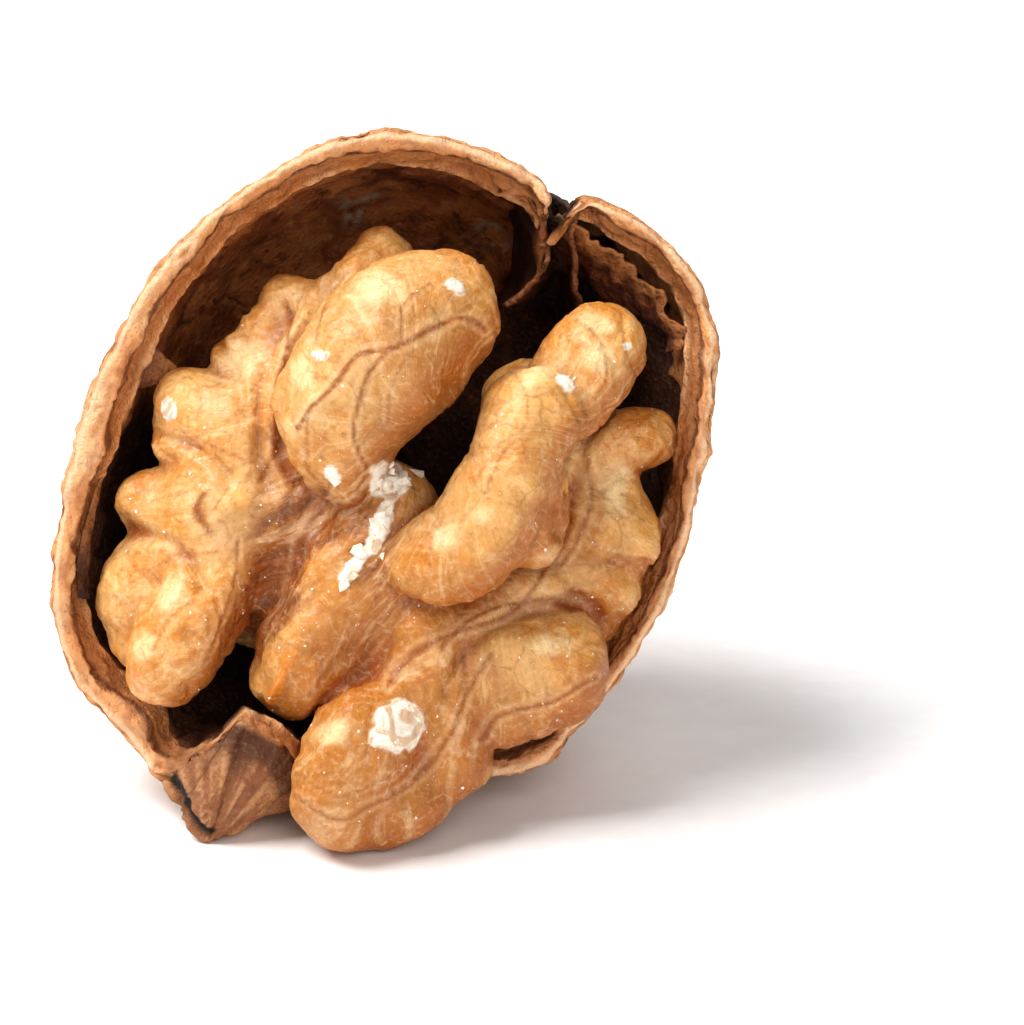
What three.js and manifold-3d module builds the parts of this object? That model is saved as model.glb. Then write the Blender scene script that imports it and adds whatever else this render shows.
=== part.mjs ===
// A cracked-open walnut: one half shell standing on its lower back wall, its half kernel lying in
// the cup and spilling out over the front rim, and the torn papery scraps of lining and septum that
// cling inside.  Millimetres, +Z up, +Y towards the back of the shell; the open face looks along -Y.
//
// Every piece is first drawn in the nut's own frame: a runs right and b runs up in the plane of the
// open face, c runs out of it towards the front, so that the shell lies at c < 0.  leanBack() then
// stands the nut on the floor, leaning back on its lower wall.

import * as THREE from 'three';
import { mergeVertices } from 'three/addons/utils/BufferGeometryUtils.js';
import Module from 'manifold-3d';

const wasm = await Module();
wasm.setup();

// ---- driving dimensions -------------------------------------------------------------------------

const LEAN = THREE.MathUtils.degToRad(15); // how far the open face leans back from upright
const FLOOR_DROP = 21; // height of the nut frame's origin above the floor
const CUP_DEPTH = 18.5; // outside depth of the half shell behind the open face
const CUP_SQUARENESS = 2.55; // 2 is a plain ellipse; more makes the wall fuller near the bottom
const CHEEK = new THREE.Vector2(18.6, 20.1); // half width and half height of the rounder cheek
const CHEEK_SIDE = 0.985; // the cheek stands no wider than this share of the rim,
const CHEEK_UNDER = 1.1; // except underneath, where it bulges below the rim
const CHEEK_START = 0.28; // depth, as a share of the way down, at which the rim has become the cheek
const WALL = 1.9; // thickness of the shell at its rim
const WALL_BACK = 1.7; // thickness of the shell at the bottom of the cup
const APEX_WALL = 4.6; // extra thickness at the pointed end, where the other half's tip holds on
const GAP = 0.35; // clearance kept between neighbouring pieces
const SHEET = 0.45; // thickness of the papery scraps

// Outside edge of the open face, [a, b], from the pointed end round by the right-hand side.
const RIM = [
  [-10.5, -22.7], [-6.8, -21], [-0.5, -19.8], [5.5, -19.1], [10, -17.8], [13.4, -14], [16.2, -9.5],
  [18, -4.5], [19.1, 1], [19.4, 6.3], [18, 10.8], [15, 13.8], [11.6, 15], [9.4, 16.6],
  [5.2, 18.3], [0.3, 19.1], [-4.4, 17.9], [-9, 15.1], [-13.1, 11.3], [-16.5, 5.4], [-18.7, -0.6],
  [-19.6, -7], [-18.9, -12.4], [-15.9, -16.8], [-13.2, -19.6],
];
const CUP_CENTRE = new THREE.Vector2(0, -1.2); // where the bottom of the cup lies behind the rim
const STEM_NOTCH = 12.6 / RIM.length; // place of the stem scar along the rim, 0 to 1
const STEM_NOTCH_WIDTH = 0.012;
const STEM_NOTCH_DEPTH = 1.6;
const APEX_RISE = 3; // how far the pointed end stands forward of the open face,
const APEX_SLOPE = 2.2; // and how much further forward its torn inner edge stands
const APEX_WIDTH = 0.045; // reach of the pointed end along the rim

const SHELL_ROUND = 72; // facets round the rim
const SHELL_ROWS = 24; // facets from the outside bottom over the rim to the inside bottom
const LOBE_ROUND = 10;
const LOBE_ROWS = 7;

// ---- the kernel's lobes: centre line [a, b, c] and radius at each point ---------------------------

const LOBES = {
  left_arm: [[-2.6, 0.8, 3.6, 3.6], [-2, 3.2, 4.2, 4.2], [-0.5, 5.4, 4.2, 4.5], [1.4, 7.2, 3.7, 4.3],
    [3.8, 8.4, 2.6, 3.3]],
  right_arm: [[2.6, -5.7, 4.6, 2.7], [5, -4.4, 4.9, 3.2], [7, -1.8, 5, 3.1], [8.3, 1.2, 4.8, 2.8],
    [10, 3.6, 4, 2.9]],
  right_arm_knob: [[10.8, 4, 2.3, 2.7], [12.2, 5.8, 1.2, 2.9]],
  right_wing_knob: [[11.8, 0, -1, 2.6], [15.3, 0.8, -1.6, 2]],
  right_wing: [[9.8, -2.5, -0.6, 3.4], [13, -4.4, -0.6, 3.1]],
  right_wing_low: [[10.2, -6.6, -0.4, 3], [13.1, -8, -0.4, 2]],
  lower_right: [[5.5, -11.2, 1.8, 3.4], [9.2, -12.3, 1.8, 3.6], [8, -14.6, 2, 2.6]],
  bottom_bridge: [[3, -11, 1.6, 3.6], [2.6, -15, 3, 3.2], [3.5, -18.3, 3.6, 2.6]],
  bottom_knob: [[0.4, -15, 4.4, 3], [-1.2, -17.3, 5, 3.3], [-2.2, -19.7, 4.6, 3.2]],
  bottom_tip: [[-1, -19.8, 4.2, 3], [1.2, -19.9, 3.8, 2.6]],
  saddle: [[0.4, -3.5, 1.4, 3.4], [-2.4, -8, 1.6, 3.8], [-4, -12.2, 1.8, 3.4]],
  saddle_right: [[-1, -7.4, 0.2, 3.8], [3.8, -9, 0.4, 3.6], [8.2, -8.6, 0.2, 3.2]],
  saddle_left: [[-3.6, -1, -0.6, 4], [-8.6, -4.6, -0.6, 3.6], [-9.6, -6.4, 0, 3]],
  lower_left: [[-9.8, -7, 0.6, 2.6], [-11.6, -10.3, 1.1, 2.7], [-12.6, -12.4, 0.7, 2.3]],
  upper_left: [[-3.4, 4.6, -2, 3.6], [-1.6, 8.6, -3.2, 3], [-0.4, 10.8, -3.8, 2]],
  upper_left_middle: [[-4.4, 2.6, -1.8, 3.8], [-5.6, 7, -2.8, 2.8]],
  left_knob_upper: [[-6, 1.2, -1.2, 3.8], [-8.4, 5.2, -2.4, 2]],
  left_knob_middle: [[-7, -0.4, -1, 3.6], [-11.6, 2, -1.8, 2.2]],
  left_knob_lower: [[-8, -2.8, -0.8, 3.4], [-13.8, -3.3, -1.4, 2]],
  left_wing: [[-4.4, 6.4, -1.8, 3.2], [-9, 0.4, -1, 3.4], [-11.4, -5.6, -0.6, 3]],
  left_knob_bottom: [[-9, -5, -0.8, 3.2], [-14.4, -8.2, -1.4, 2.5]],
  back_left: [[-5, 5, -5, 3.4], [-9.5, -1, -6, 4.2], [-8.5, -8, -5.6, 4]],
  back_right: [[7.6, 2.4, -3.4, 2.6], [9.6, -2.6, -5.4, 4], [7.6, -8.6, -5.4, 4]],
  back_bottom: [[-6, -8.6, -3.6, 4], [0, -11.6, -3, 4], [6, -9.6, -3.6, 4]],
};

// ---- geometry helpers ---------------------------------------------------------------------------

// A closed sphere net whose points are moved by place(u, v, point): u runs once round, v from pole
// to pole, and at each pole the place must not depend on u.
function wrapSphere(round, rows, place) {
  const geometry = new THREE.SphereGeometry(1, round, rows);
  const position = geometry.attributes.position;
  const point = new THREE.Vector3();
  for (let row = 0; row <= rows; row += 1) {
    for (let column = 0; column <= round; column += 1) {
      place((column % round) / round, row / rows, point);
      position.setXYZ(row * (round + 1) + column, point.x, point.y, point.z);
    }
  }
  return geometry;
}

// A closed block net whose points are moved by place(x, y, z, point), each from 0 to 1.
function wrapBlock(columns, rows, place) {
  const geometry = new THREE.BoxGeometry(1, 1, 1, columns, rows, 1);
  const position = geometry.attributes.position;
  const point = new THREE.Vector3();
  for (let index = 0; index < position.count; index += 1) {
    point.fromBufferAttribute(position, index).addScalar(0.5);
    place(point.x, point.y, point.z, point);
    position.setXYZ(index, point.x, point.y, point.z);
  }
  return geometry;
}

function toSolid(geometry) {
  const bare = geometry.clone();
  bare.deleteAttribute('normal');
  bare.deleteAttribute('uv');
  const merged = mergeVertices(bare, 1e-4);
  return new wasm.Manifold(new wasm.Mesh({
    numProp: 3,
    vertProperties: new Float32Array(merged.attributes.position.array),
    triVerts: new Uint32Array(merged.index.array),
  }));
}

function fromSolid(solid) {
  const mesh = solid.getMesh();
  const geometry = new THREE.BufferGeometry();
  geometry.setAttribute('position', new THREE.BufferAttribute(mesh.vertProperties, 3));
  geometry.setIndex(new THREE.BufferAttribute(mesh.triVerts, 1));
  geometry.computeVertexNormals();
  return geometry;
}

// ---- the half shell -----------------------------------------------------------------------------

const rimCurve = new THREE.CatmullRomCurve3(
  RIM.map(([a, b]) => new THREE.Vector3(a, b, 0)),
  true,
  'centripetal',
);

// Distance between two places on the rim, with the rim's ends joined.
function rimDistance(u, place) {
  const away = Math.abs(u - place) % 1;
  return Math.min(away, 1 - away);
}

function bump(distance, width) {
  return Math.exp(-((distance / width) ** 2));
}

function wallAt(u) {
  return WALL + APEX_WALL * bump(rimDistance(u, 0), APEX_WIDTH);
}

// The broken edge is never quite level: it rolls a little, and dips at the stem scar.
function lipAt(u) {
  const roll = 0.25 * Math.sin(2 * Math.PI * (3 * u + 0.1)) + 0.15 * Math.sin(2 * Math.PI * 8 * u);
  const notch = STEM_NOTCH_DEPTH * bump(rimDistance(u, STEM_NOTCH), STEM_NOTCH_WIDTH);
  return roll + APEX_RISE * bump(rimDistance(u, 0), APEX_WIDTH) - notch;
}

// A point of the cup's wall.  down runs from 0 at the rim to 1 at the bottom of the cup, and inset
// is how far inside the outer skin the point lies.
function cupPoint(u, down, inset, point) {
  const edge = rimCurve.getPoint(u);
  const reach = new THREE.Vector2(edge.x - CUP_CENTRE.x, edge.y - CUP_CENTRE.y);
  const below = THREE.MathUtils.smoothstep(-reach.y / reach.length(), 0.3, 0.8);
  const widest = THREE.MathUtils.lerp(CHEEK_SIDE, CHEEK_UNDER, below);
  const cheekLength = Math.min(1 / Math.hypot(reach.x / CHEEK.x, reach.y / CHEEK.y), widest);
  const towardsCheek = THREE.MathUtils.smoothstep(down, 0, CHEEK_START);
  reach.multiplyScalar(THREE.MathUtils.lerp(1, cheekLength, towardsCheek));
  const angle = (down * Math.PI) / 2;
  const across = Math.cos(angle) ** (2 / CUP_SQUARENESS);
  const along = Math.sin(angle) ** (2 / CUP_SQUARENESS);
  const insetHere = THREE.MathUtils.lerp(inset, Math.min(inset, (inset * WALL_BACK) / WALL), down);
  const width = Math.max(reach.length() - insetHere, 0) / reach.length();
  point.x = CUP_CENTRE.x + reach.x * width * across;
  point.y = CUP_CENTRE.y + reach.y * width * across;
  point.z = lipAt(u) * (1 - down) ** 2 - (CUP_DEPTH - insetHere) * along;
}

// The whole wall, from the inside bottom over the rim to the outside bottom, grown by a clearance.
function shellSolid(grow) {
  return toSolid(wrapSphere(SHELL_ROUND, SHELL_ROWS, (u, v, point) => {
    const inside = v < 0.5;
    const down = Math.min(Math.abs(v - 0.5) * 2 * (SHELL_ROWS / (SHELL_ROWS - 2)) - 0.07, 1);
    const thick = wallAt(u) * (1 - Math.max(down, 0)) ** 3 + WALL * (1 - (1 - Math.max(down, 0)) ** 3);
    const inset = inside ? thick + grow : -grow;
    const onLip = down < 0;
    cupPoint(u, Math.max(down, 0), onLip ? thick / 2 : inset, point);
    point.z += onLip ? grow + 0.12 : grow * (1 - Math.max(down, 0)) ** 8;
    const inwards = onLip ? 0.5 : Number(inside);
    const slope = APEX_SLOPE * bump(rimDistance(u, 0), APEX_WIDTH);
    point.z += inwards * slope * (1 - Math.max(down, 0)) ** 4;
  }));
}

// ---- the half kernel ----------------------------------------------------------------------------

// One lobe: a round sausage along a smooth centre line, whose radius follows the given ones and
// closes to a half ball at each end.
function lobeSolid(points) {
  const line = new THREE.CatmullRomCurve3(points.map(([a, b, c]) => new THREE.Vector3(a, b, c)));
  const radii = new THREE.CatmullRomCurve3(points.map((p, i) => new THREE.Vector3(i, p[3], 0)));
  const length = line.getLength();
  const startRadius = points[0][3];
  const endRadius = points[points.length - 1][3];
  const total = startRadius + length + endRadius;
  return toSolid(wrapSphere(LOBE_ROUND, LOBE_ROWS + Math.ceil(length / 3), (u, v, point) => {
    const travel = ((1 - Math.cos(v * Math.PI)) / 2) * total - startRadius;
    const t = THREE.MathUtils.clamp(travel / length, 0, 1);
    const centre = line.getPoint(t);
    const tangent = line.getTangent(t);
    const side = new THREE.Vector3(0.1, 0.2, 1).cross(tangent).normalize();
    const other = tangent.clone().cross(side);
    const before = Math.min(travel, 0) / startRadius;
    const after = Math.max(travel - length, 0) / endRadius;
    const atPole = v === 0 || v === 1;
    const round = atPole ? 0 : Math.sqrt(Math.max(1 - before ** 2 - after ** 2, 0));
    const radius = radii.getPoint(t).y * round;
    centre.addScaledVector(tangent, before * startRadius + after * endRadius);
    point.copy(centre)
      .addScaledVector(side, -radius * Math.cos(2 * Math.PI * u))
      .addScaledVector(other, radius * Math.sin(2 * Math.PI * u));
  }));
}

function kernelSolid() {
  const solids = Object.values(LOBES).map(lobeSolid);
  return solids.reduce((whole, next) => whole.add(next));
}

// ---- torn papery scraps, lying along the inner wall ---------------------------------------------

// A scrap of lining between two places on the rim and two depths; lift moves its free edge off the
// wall, towards the middle of the cup.
function liningScrap(uStart, uEnd, downStart, downEnd, lift) {
  return toSolid(wrapBlock(12, 6, (x, y, z, point) => {
    const u = THREE.MathUtils.lerp(uStart, uEnd, x);
    const down = THREE.MathUtils.lerp(downStart, downEnd, y);
    const ragged = 0.03 * Math.sin(9 * x + 1) * y;
    const wall = WALL + GAP + lift * (1 - y) + SHEET * z;
    cupPoint(u, down + ragged, wall, point);
  }));
}

// The strip of septum that hangs inward from the stem scar.
function septumStrip() {
  const line = new THREE.CatmullRomCurve3([
    new THREE.Vector3(6.8, 7.4, -7.4),
    new THREE.Vector3(7.2, 9.2, -4.8),
    new THREE.Vector3(8.1, 10.8, -2.6),
    new THREE.Vector3(8.6, 12.4, -1.2),
  ]);
  return toSolid(wrapBlock(2, 10, (x, y, z, point) => {
    const centre = line.getPoint(y);
    const half = 0.8 + 0.3 * y;
    point.set(
      centre.x + (x - 0.5) * 2 * half,
      centre.y + (x - 0.5) * half * 0.6,
      centre.z + (z - 0.5) * SHEET + 0.5 * (x - 0.5) ** 2,
    );
  }));
}

// ---- standing it on the floor -------------------------------------------------------------------

const leanBack = new THREE.Matrix4()
  .makeTranslation(0, 0, FLOOR_DROP)
  .multiply(new THREE.Matrix4().makeRotationX(Math.PI / 2 - LEAN));

function stand(solid) {
  return solid.transform(leanBack.elements);
}

const floorBlock = toSolid(new THREE.BoxGeometry(200, 200, 40).translate(0, 0, -20));

const shell = stand(shellSolid(0)).subtract(floorBlock);
const kernel = stand(kernelSolid().subtract(shellSolid(GAP))).subtract(floorBlock);
const scraps = {
  lining_flap_right: liningScrap(0.4, 0.475, 0.04, 0.22, 1.3),
  lining_flap_left: liningScrap(0.72, 0.79, 0.05, 0.22, 0.9),
  septum_strip: septumStrip(),
};

// ---- finishes and assembly ----------------------------------------------------------------------

const shellWood = new THREE.MeshStandardMaterial({ color: '#c08a5c', roughness: 0.75, metalness: 0 });
const kernelSkin = new THREE.MeshStandardMaterial({ color: '#e0a365', roughness: 0.45, metalness: 0 });
const papery = new THREE.MeshStandardMaterial({ color: '#8a5530', roughness: 0.85, metalness: 0 });

const walnut = new THREE.Group();

function addPiece(name, solid, material) {
  const mesh = new THREE.Mesh(fromSolid(solid), material);
  mesh.name = name;
  walnut.add(mesh);
}

addPiece('half_shell', shell, shellWood);
addPiece('kernel', kernel, kernelSkin);
Object.entries(scraps).forEach(([name, solid]) => addPiece(name, stand(solid), papery));

// The reference point is the middle of the nut's footprint, on the floor.
const whole = new THREE.Box3().setFromObject(walnut);
const middle = whole.getCenter(new THREE.Vector3());
walnut.position.set(-middle.x, -middle.y, 0);

export default walnut;
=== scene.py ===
"""A cracked-open walnut: the woody half shell, the half kernel lying in it, torn lining and septum
inside, and the crumbs of kernel that dust it.

Everything is worked out in the nut's own frame, in millimetres: a runs right and b up in the plane of
the open face, c comes out of it towards the front.  stand_up() turns that frame back by the lean of
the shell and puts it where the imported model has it, in metres.
"""
import math
from itertools import combinations

import bpy
import numpy as np
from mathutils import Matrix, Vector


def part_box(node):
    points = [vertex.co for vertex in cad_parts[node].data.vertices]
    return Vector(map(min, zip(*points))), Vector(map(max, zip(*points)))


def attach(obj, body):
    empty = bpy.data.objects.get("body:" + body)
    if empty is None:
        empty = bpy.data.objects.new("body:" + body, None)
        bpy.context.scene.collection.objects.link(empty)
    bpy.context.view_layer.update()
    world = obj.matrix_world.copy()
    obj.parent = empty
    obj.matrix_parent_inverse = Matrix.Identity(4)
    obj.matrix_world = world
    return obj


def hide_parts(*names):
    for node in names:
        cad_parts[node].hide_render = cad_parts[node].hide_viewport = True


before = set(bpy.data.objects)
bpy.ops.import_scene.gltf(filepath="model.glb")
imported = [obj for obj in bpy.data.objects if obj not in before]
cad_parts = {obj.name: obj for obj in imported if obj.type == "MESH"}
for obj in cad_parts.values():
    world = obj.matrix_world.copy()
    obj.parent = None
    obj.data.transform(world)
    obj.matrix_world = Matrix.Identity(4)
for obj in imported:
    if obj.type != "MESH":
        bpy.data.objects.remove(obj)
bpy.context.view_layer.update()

# ---- sizes, in millimetres ---------------------------------------------------------------------------

MM = 0.001
LEAN = math.radians(15)  # how far the open face leans back
FLOOR_DROP = 21.0  # height of the nut frame's origin above the floor
CUP_DEPTH = 18.5
CUP_SQUARENESS = 2.55
CHEEK_HALF_WIDTH = 18.6
CHEEK_HALF_HEIGHT = 20.1
CHEEK_SIDE = 0.985
CHEEK_UNDER = 1.1
CHEEK_START = 0.28
WALL_BACK = 1.7
CENTRE = np.array([0.0, -1.2])
CENTRE_3 = np.array([0.0, -1.2, 0.0])
FACING = math.radians(7)  # the marks on the kernel are laid out as seen from this far above square on

# Outside and inside edge of the broken rim, [a, b], from the pointed end round by the right side.
RIM_OUTSIDE = [
    [-10.4, -22.7], [-8.6, -22.0], [-6.6, -20.9], [-0.5, -19.9], [5.5, -19.2], [8.4, -19.0],
    [10.0, -18.2], [11.2, -16.4], [13.4, -14.0], [15.2, -11.2], [16.8, -8.2], [17.9, -5.0],
    [18.5, -1.5], [19.2, 1.8], [19.5, 5.4], [19.5, 6.6], [19.0, 8.6], [18.4, 10.2], [16.9, 12.2],
    [15.0, 13.8], [13.0, 14.7], [11.7, 15.1], [10.9, 15.0], [10.4, 14.2], [9.9, 14.3],
    [9.5, 15.9], [8.8, 16.6], [7.2, 17.4], [4.6, 18.3], [2.4, 18.8], [0.3, 19.1], [-2.1, 18.7],
    [-4.6, 17.8], [-7.5, 16.1], [-10.0, 14.3], [-12.9, 11.4], [-15.0, 8.2], [-16.8, 4.7],
    [-18.2, 1.1], [-19.1, -2.9], [-19.6, -6.0], [-19.6, -9.0], [-19.2, -11.8], [-18.2, -14.0],
    [-16.2, -16.2], [-14.9, -17.7], [-12.9, -20.2], [-11.5, -22.0],
]
RIM_INSIDE = [
    [-7.2, -15.0], [-5.6, -16.1], [-4.4, -17.3], [-0.5, -17.9], [5.0, -17.4], [9.0, -16.0],
    [12.2, -13.0], [14.2, -10.2], [15.7, -7.0], [16.9, -3.2], [17.6, 0.6], [18.0, 4.4],
    [18.1, 7.4], [17.3, 9.6], [15.7, 11.7], [13.8, 13.0], [12.2, 13.9], [11.3, 14.0],
    [10.6, 12.8], [9.6, 12.9], [8.8, 14.3], [7.6, 15.4], [4.6, 16.7], [1.6, 17.3], [-1.6, 17.2],
    [-4.6, 16.2], [-7.4, 14.5], [-9.8, 12.6], [-12.0, 9.9], [-13.7, 7.0], [-15.2, 3.6],
    [-16.6, -0.4], [-17.7, -4.0], [-18.2, -8.0], [-17.6, -11.4], [-15.9, -13.6], [-14.2, -14.6],
    [-13.6, -15.9], [-13.2, -17.1], [-12.4, -17.8], [-11.5, -17.5], [-10.9, -17.0],
    [-9.8, -16.3], [-8.7, -15.2], [-8.2, -14.6],
]
RIM_RADIUS = 19.0  # about the rim's radius, where its noises are read
STEM_ANGLE = 56.5  # degrees round from +a where the dark stem scar splits the rim
BEAK_ANGLE = 243.0  # degrees round where the pointed end lies
BEAK_RISE = 3.0  # how far the pointed end stands forward of the open face,
BEAK_SLOPE = 2.2  # and how much further forward its torn inner edge stands
BEAK_TIP = np.array([-10.4, -23.0])  # the point that the beak's streaks fan out from
SEAM_RISE_FROM = 230.0  # where the suture begins to climb towards the tip

# The kernel's lobes: softness of the join, then the centre line [a, b, c, radius].
LOBES = {
    "back left": (2.2, [[-5, 5, -5, 3.4], [-9.5, -1, -6, 4.2], [-8.5, -8, -5.6, 4.0]]),
    "back right": (2.2, [[8.5, 2.4, -4.6, 2.8], [9.8, -2.6, -5.4, 4.0], [7.6, -8.6, -5.4, 4.0]]),
    "back bottom": (2.2, [[-6, -8.6, -3.6, 4.0], [0, -11.6, -3.0, 4.0], [6, -9.6, -3.6, 4.0]]),
    "saddle": (1.6, [[0.4, -3.5, 1.2, 3.2], [-2.2, -7.6, 1.5, 3.7], [-4.0, -11.7, 1.8, 3.4]]),
    "saddle corner": (1.2, [[-4.4, -10.8, 1.6, 2.8], [-5.6, -12.9, 1.4, 2.2]]),
    "saddle right": (2.0, [[-1, -7.4, 0.2, 3.8], [3.8, -9.0, 0.5, 3.6], [8.2, -8.6, 0.2, 3.2]]),
    "saddle left": (2.0, [[-3.6, -1, -1.0, 3.6], [-8.2, -4.2, -0.9, 3.4], [-9.6, -6.4, -0.3, 2.8]]),
    "left wing": (1.8, [[-3.6, 6.0, -1.9, 3.2], [-7.6, 1.4, -1.2, 3.3], [-10.6, -4.4, -1.0, 3.2]]),
    "left wing low": (1.6, [[-10.6, -4.4, -1.0, 3.0], [-13.0, -7.6, -1.4, 2.8], [-14.2, -11.2, -2.0, 2.5]]),
    "upper left": (0.9, [[-3.2, 4.6, -2.2, 3.4], [-1.7, 8.4, -3.2, 3.0], [-0.3, 10.9, -3.9, 2.0]]),
    "upper left middle": (0.7, [[-4.4, 3.4, -2.2, 3.2], [-5.0, 6.8, -3.0, 2.5], [-5.6, 8.8, -3.4, 1.9]]),
    "upper left small": (0.6, [[-5.4, 4.4, -2.2, 2.6], [-7.3, 7.0, -3.0, 1.6]]),
    "left knob upper": (0.6, [[-6, 2.4, -1.6, 2.8], [-8.2, 4.6, -2.6, 2.0], [-8.9, 5.6, -2.9, 1.6]]),
    "left knob middle": (0.7, [[-7.4, -0.2, -1.2, 3.2], [-10.8, 2.2, -2.0, 2.5], [-11.6, 2.9, -2.2, 2.0]]),
    "left knob side": (0.6, [[-8.4, -1.0, -1.0, 2.4], [-12.0, 0.6, -1.8, 1.7]]),
    "left knob lower": (0.8, [[-8.6, -3.0, -1.0, 3.0], [-12.8, -3.3, -1.7, 2.3], [-14.3, -3.1, -2.0, 1.9]]),
    "left knob bottom": (0.8, [[-10, -6.0, -1.2, 3.0], [-14.4, -7.6, -2.0, 2.4], [-15.3, -9.0, -2.2, 2.2]]),
    "lower left": (0.7, [[-9.4, -6.6, 0.4, 2.2], [-10.6, -8.4, 1.3, 2.9], [-12.2, -11.2, 1.2, 2.9],
                         [-13.0, -12.9, 0.9, 2.2]]),
    "right wing": (1.6, [[9.2, -2.8, -0.9, 3.3], [12.3, -4.4, -0.9, 3.1]]),
    "right wing knob": (0.8, [[11.0, -0.8, -1.2, 2.7], [13.9, 0.6, -1.6, 2.2], [15.5, 0.9, -1.8, 1.9]]),
    "right wing edge": (0.6, [[13.3, -3.0, -0.9, 2.3], [14.4, -5.0, -0.8, 2.3]]),
    "right wing low": (0.6, [[11.4, -6.6, -0.6, 2.6], [13.4, -8.0, -0.6, 2.0]]),
    "right wing tip": (0.5, [[11.9, -8.6, -0.6, 1.9], [13.0, -10.1, -0.6, 1.3]]),
    "lower right": (0.6, [[6.4, -10.9, 1.6, 3.2], [9.6, -11.6, 1.7, 3.3], [10.2, -13.0, 1.7, 2.9]]),
    "lower right foot": (0.5, [[8.0, -13.0, 2.0, 2.7], [8.8, -14.7, 2.0, 1.9]]),
    "lower right toe": (0.5, [[6.2, -13.3, 2.2, 2.4], [7.2, -15.4, 2.2, 1.6]]),
    "bottom bridge": (1.2, [[2.6, -10.6, 1.8, 3.4], [2.7, -14.0, 2.9, 3.2], [3.4, -17.1, 3.2, 2.6]]),
    "bottom right edge": (0.5, [[3.4, -17.6, 3.2, 2.3], [4.9, -18.0, 3.0, 1.4]]),
    "bottom right heel": (0.5, [[1.6, -18.9, 3.7, 2.3], [2.4, -19.7, 3.4, 1.6]]),
    "bottom knob": (0.7, [[0.4, -14.2, 4.4, 2.4], [-1.0, -16.4, 5.0, 3.2], [-2.2, -19.0, 4.6, 3.4]]),
    "bottom tip": (0.7, [[-1.8, -19.7, 4.4, 2.9], [0.6, -19.8, 4.0, 2.6]]),
    "left arm": (0.4, [[-2.4, -0.2, 3.2, 2.6], [-2.5, 1.6, 3.8, 3.5], [-2.1, 3.4, 4.2, 4.1],
                       [-0.7, 5.4, 4.3, 4.4], [1.2, 7.4, 3.8, 4.3], [3.5, 8.4, 3.0, 3.5]]),
    "right arm": (0.4, [[1.9, -5.9, 4.3, 1.9], [3.3, -5.4, 4.8, 2.7], [5.4, -4.1, 5.1, 3.1],
                        [7.0, -1.7, 5.2, 3.0], [8.0, 0.9, 5.0, 2.7], [8.8, 2.8, 4.4, 2.8]]),
    "right arm knob": (0.35, [[10.4, 3.4, 2.6, 2.5], [11.7, 5.2, 1.8, 2.9], [12.5, 6.2, 1.1, 2.8]]),
    "right arm side": (0.6, [[8.6, -4.4, 4.0, 1.8], [9.4, -1.8, 3.8, 1.8]]),
    "small bump": (0.4, [[-9.8, -2.9, 1.5, 1.0], [-8.5, -2.6, 1.7, 1.2]]),
}

# ---- small helpers -----------------------------------------------------------------------------------


def between(before, start, end, after, f):
    """The Catmull-Rom cubic from start (f = 0) to end (f = 1), whose slope at a point is half the step
    from the point before to the point after."""
    return 0.5 * (
        2 * start
        + (end - before) * f
        + (2 * before - 5 * start + 4 * end - after) * f**2
        + (3 * start - before - 3 * end + after) * f**3
    )


def closed_line(points):
    """A smooth closed line through the points, as 4,000 places on their cubics."""
    p = np.asarray(points, float)
    t = np.linspace(0, len(p), 4000, endpoint=False)
    i = np.floor(t).astype(int)
    return between(*(p[(i + k) % len(p)] for k in (-1, 0, 1, 2)), (t - i)[:, None])


def open_line(points, count):
    """The same cubics through the points of an open line, with an end point mirrored past each end."""
    p = np.asarray(points, float)
    p = np.vstack([2 * p[0] - p[1], p, 2 * p[-1] - p[-2]])
    t = np.linspace(0, len(p) - 3, count)
    i = np.minimum(np.floor(t).astype(int), len(p) - 4)
    return between(*(p[i + k] for k in range(4)), (t - i)[:, None])


def radius_round(points, degrees):
    """Distance from CENTRE to the closed line through the points, in each direction."""
    line = closed_line(points) - CENTRE
    angle = np.degrees(np.arctan2(line[:, 1], line[:, 0])) % 360
    order = np.argsort(angle)
    return np.interp(degrees % 360, angle[order], np.hypot(*line.T)[order], period=360)


def smooth_step(low, high, x):
    """0 below low, 1 above high, and 3t^2 - 2t^3 between them."""
    t = np.clip((x - low) / (high - low), 0, 1)
    return t * t * (3 - 2 * t)


def hump(x, middle, width):
    """exp(-((x - middle) / width)^2)."""
    return np.exp(-(((x - middle) / width) ** 2))


def turn_between(degrees, middle):
    """Degrees from middle to each direction, from -180 to 180."""
    return (degrees - middle + 180) % 360 - 180


def cloud(points, size, seed):
    """Smooth noise from -1 to 1: a random number at each corner of cubes `size` mm wide, blended
    across each cube by the smooth step of the place in it."""
    table = np.random.RandomState(seed).rand(32, 32, 32) * 2 - 1
    q = np.asarray(points, float) / size + 400.0
    cell = np.floor(q).astype(int)
    f = q - cell
    f = f * f * (3 - 2 * f)
    total = 0.0
    for corner in range(8):
        step = np.array([corner & 1, corner >> 1 & 1, corner >> 2])
        share = np.prod(np.where(step, f, 1 - f), axis=-1)
        i, j, k = np.moveaxis((cell + step) % 32, -1, 0)
        total = total + share * table[i, j, k]
    return total


def rough_cloud(points, size, seed):
    """Noise added to itself twice, each time at half the size and half the strength."""
    return sum(cloud(points, size / 2**k, seed + k) / 2**k for k in range(3)) / 1.6


def cloud_pair(points, size, seeds):
    """Two noises side by side, as a wander in the plane of the open face."""
    return np.stack([cloud(points, size, seed) for seed in seeds], axis=1)


def wrinkle(points, size, seed):
    """Sharp creases between soft swells: 1 - |noise|, which peaks where the noise crosses nought."""
    return 1 - np.abs(cloud(points, size, seed)) * 2.2


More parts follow.
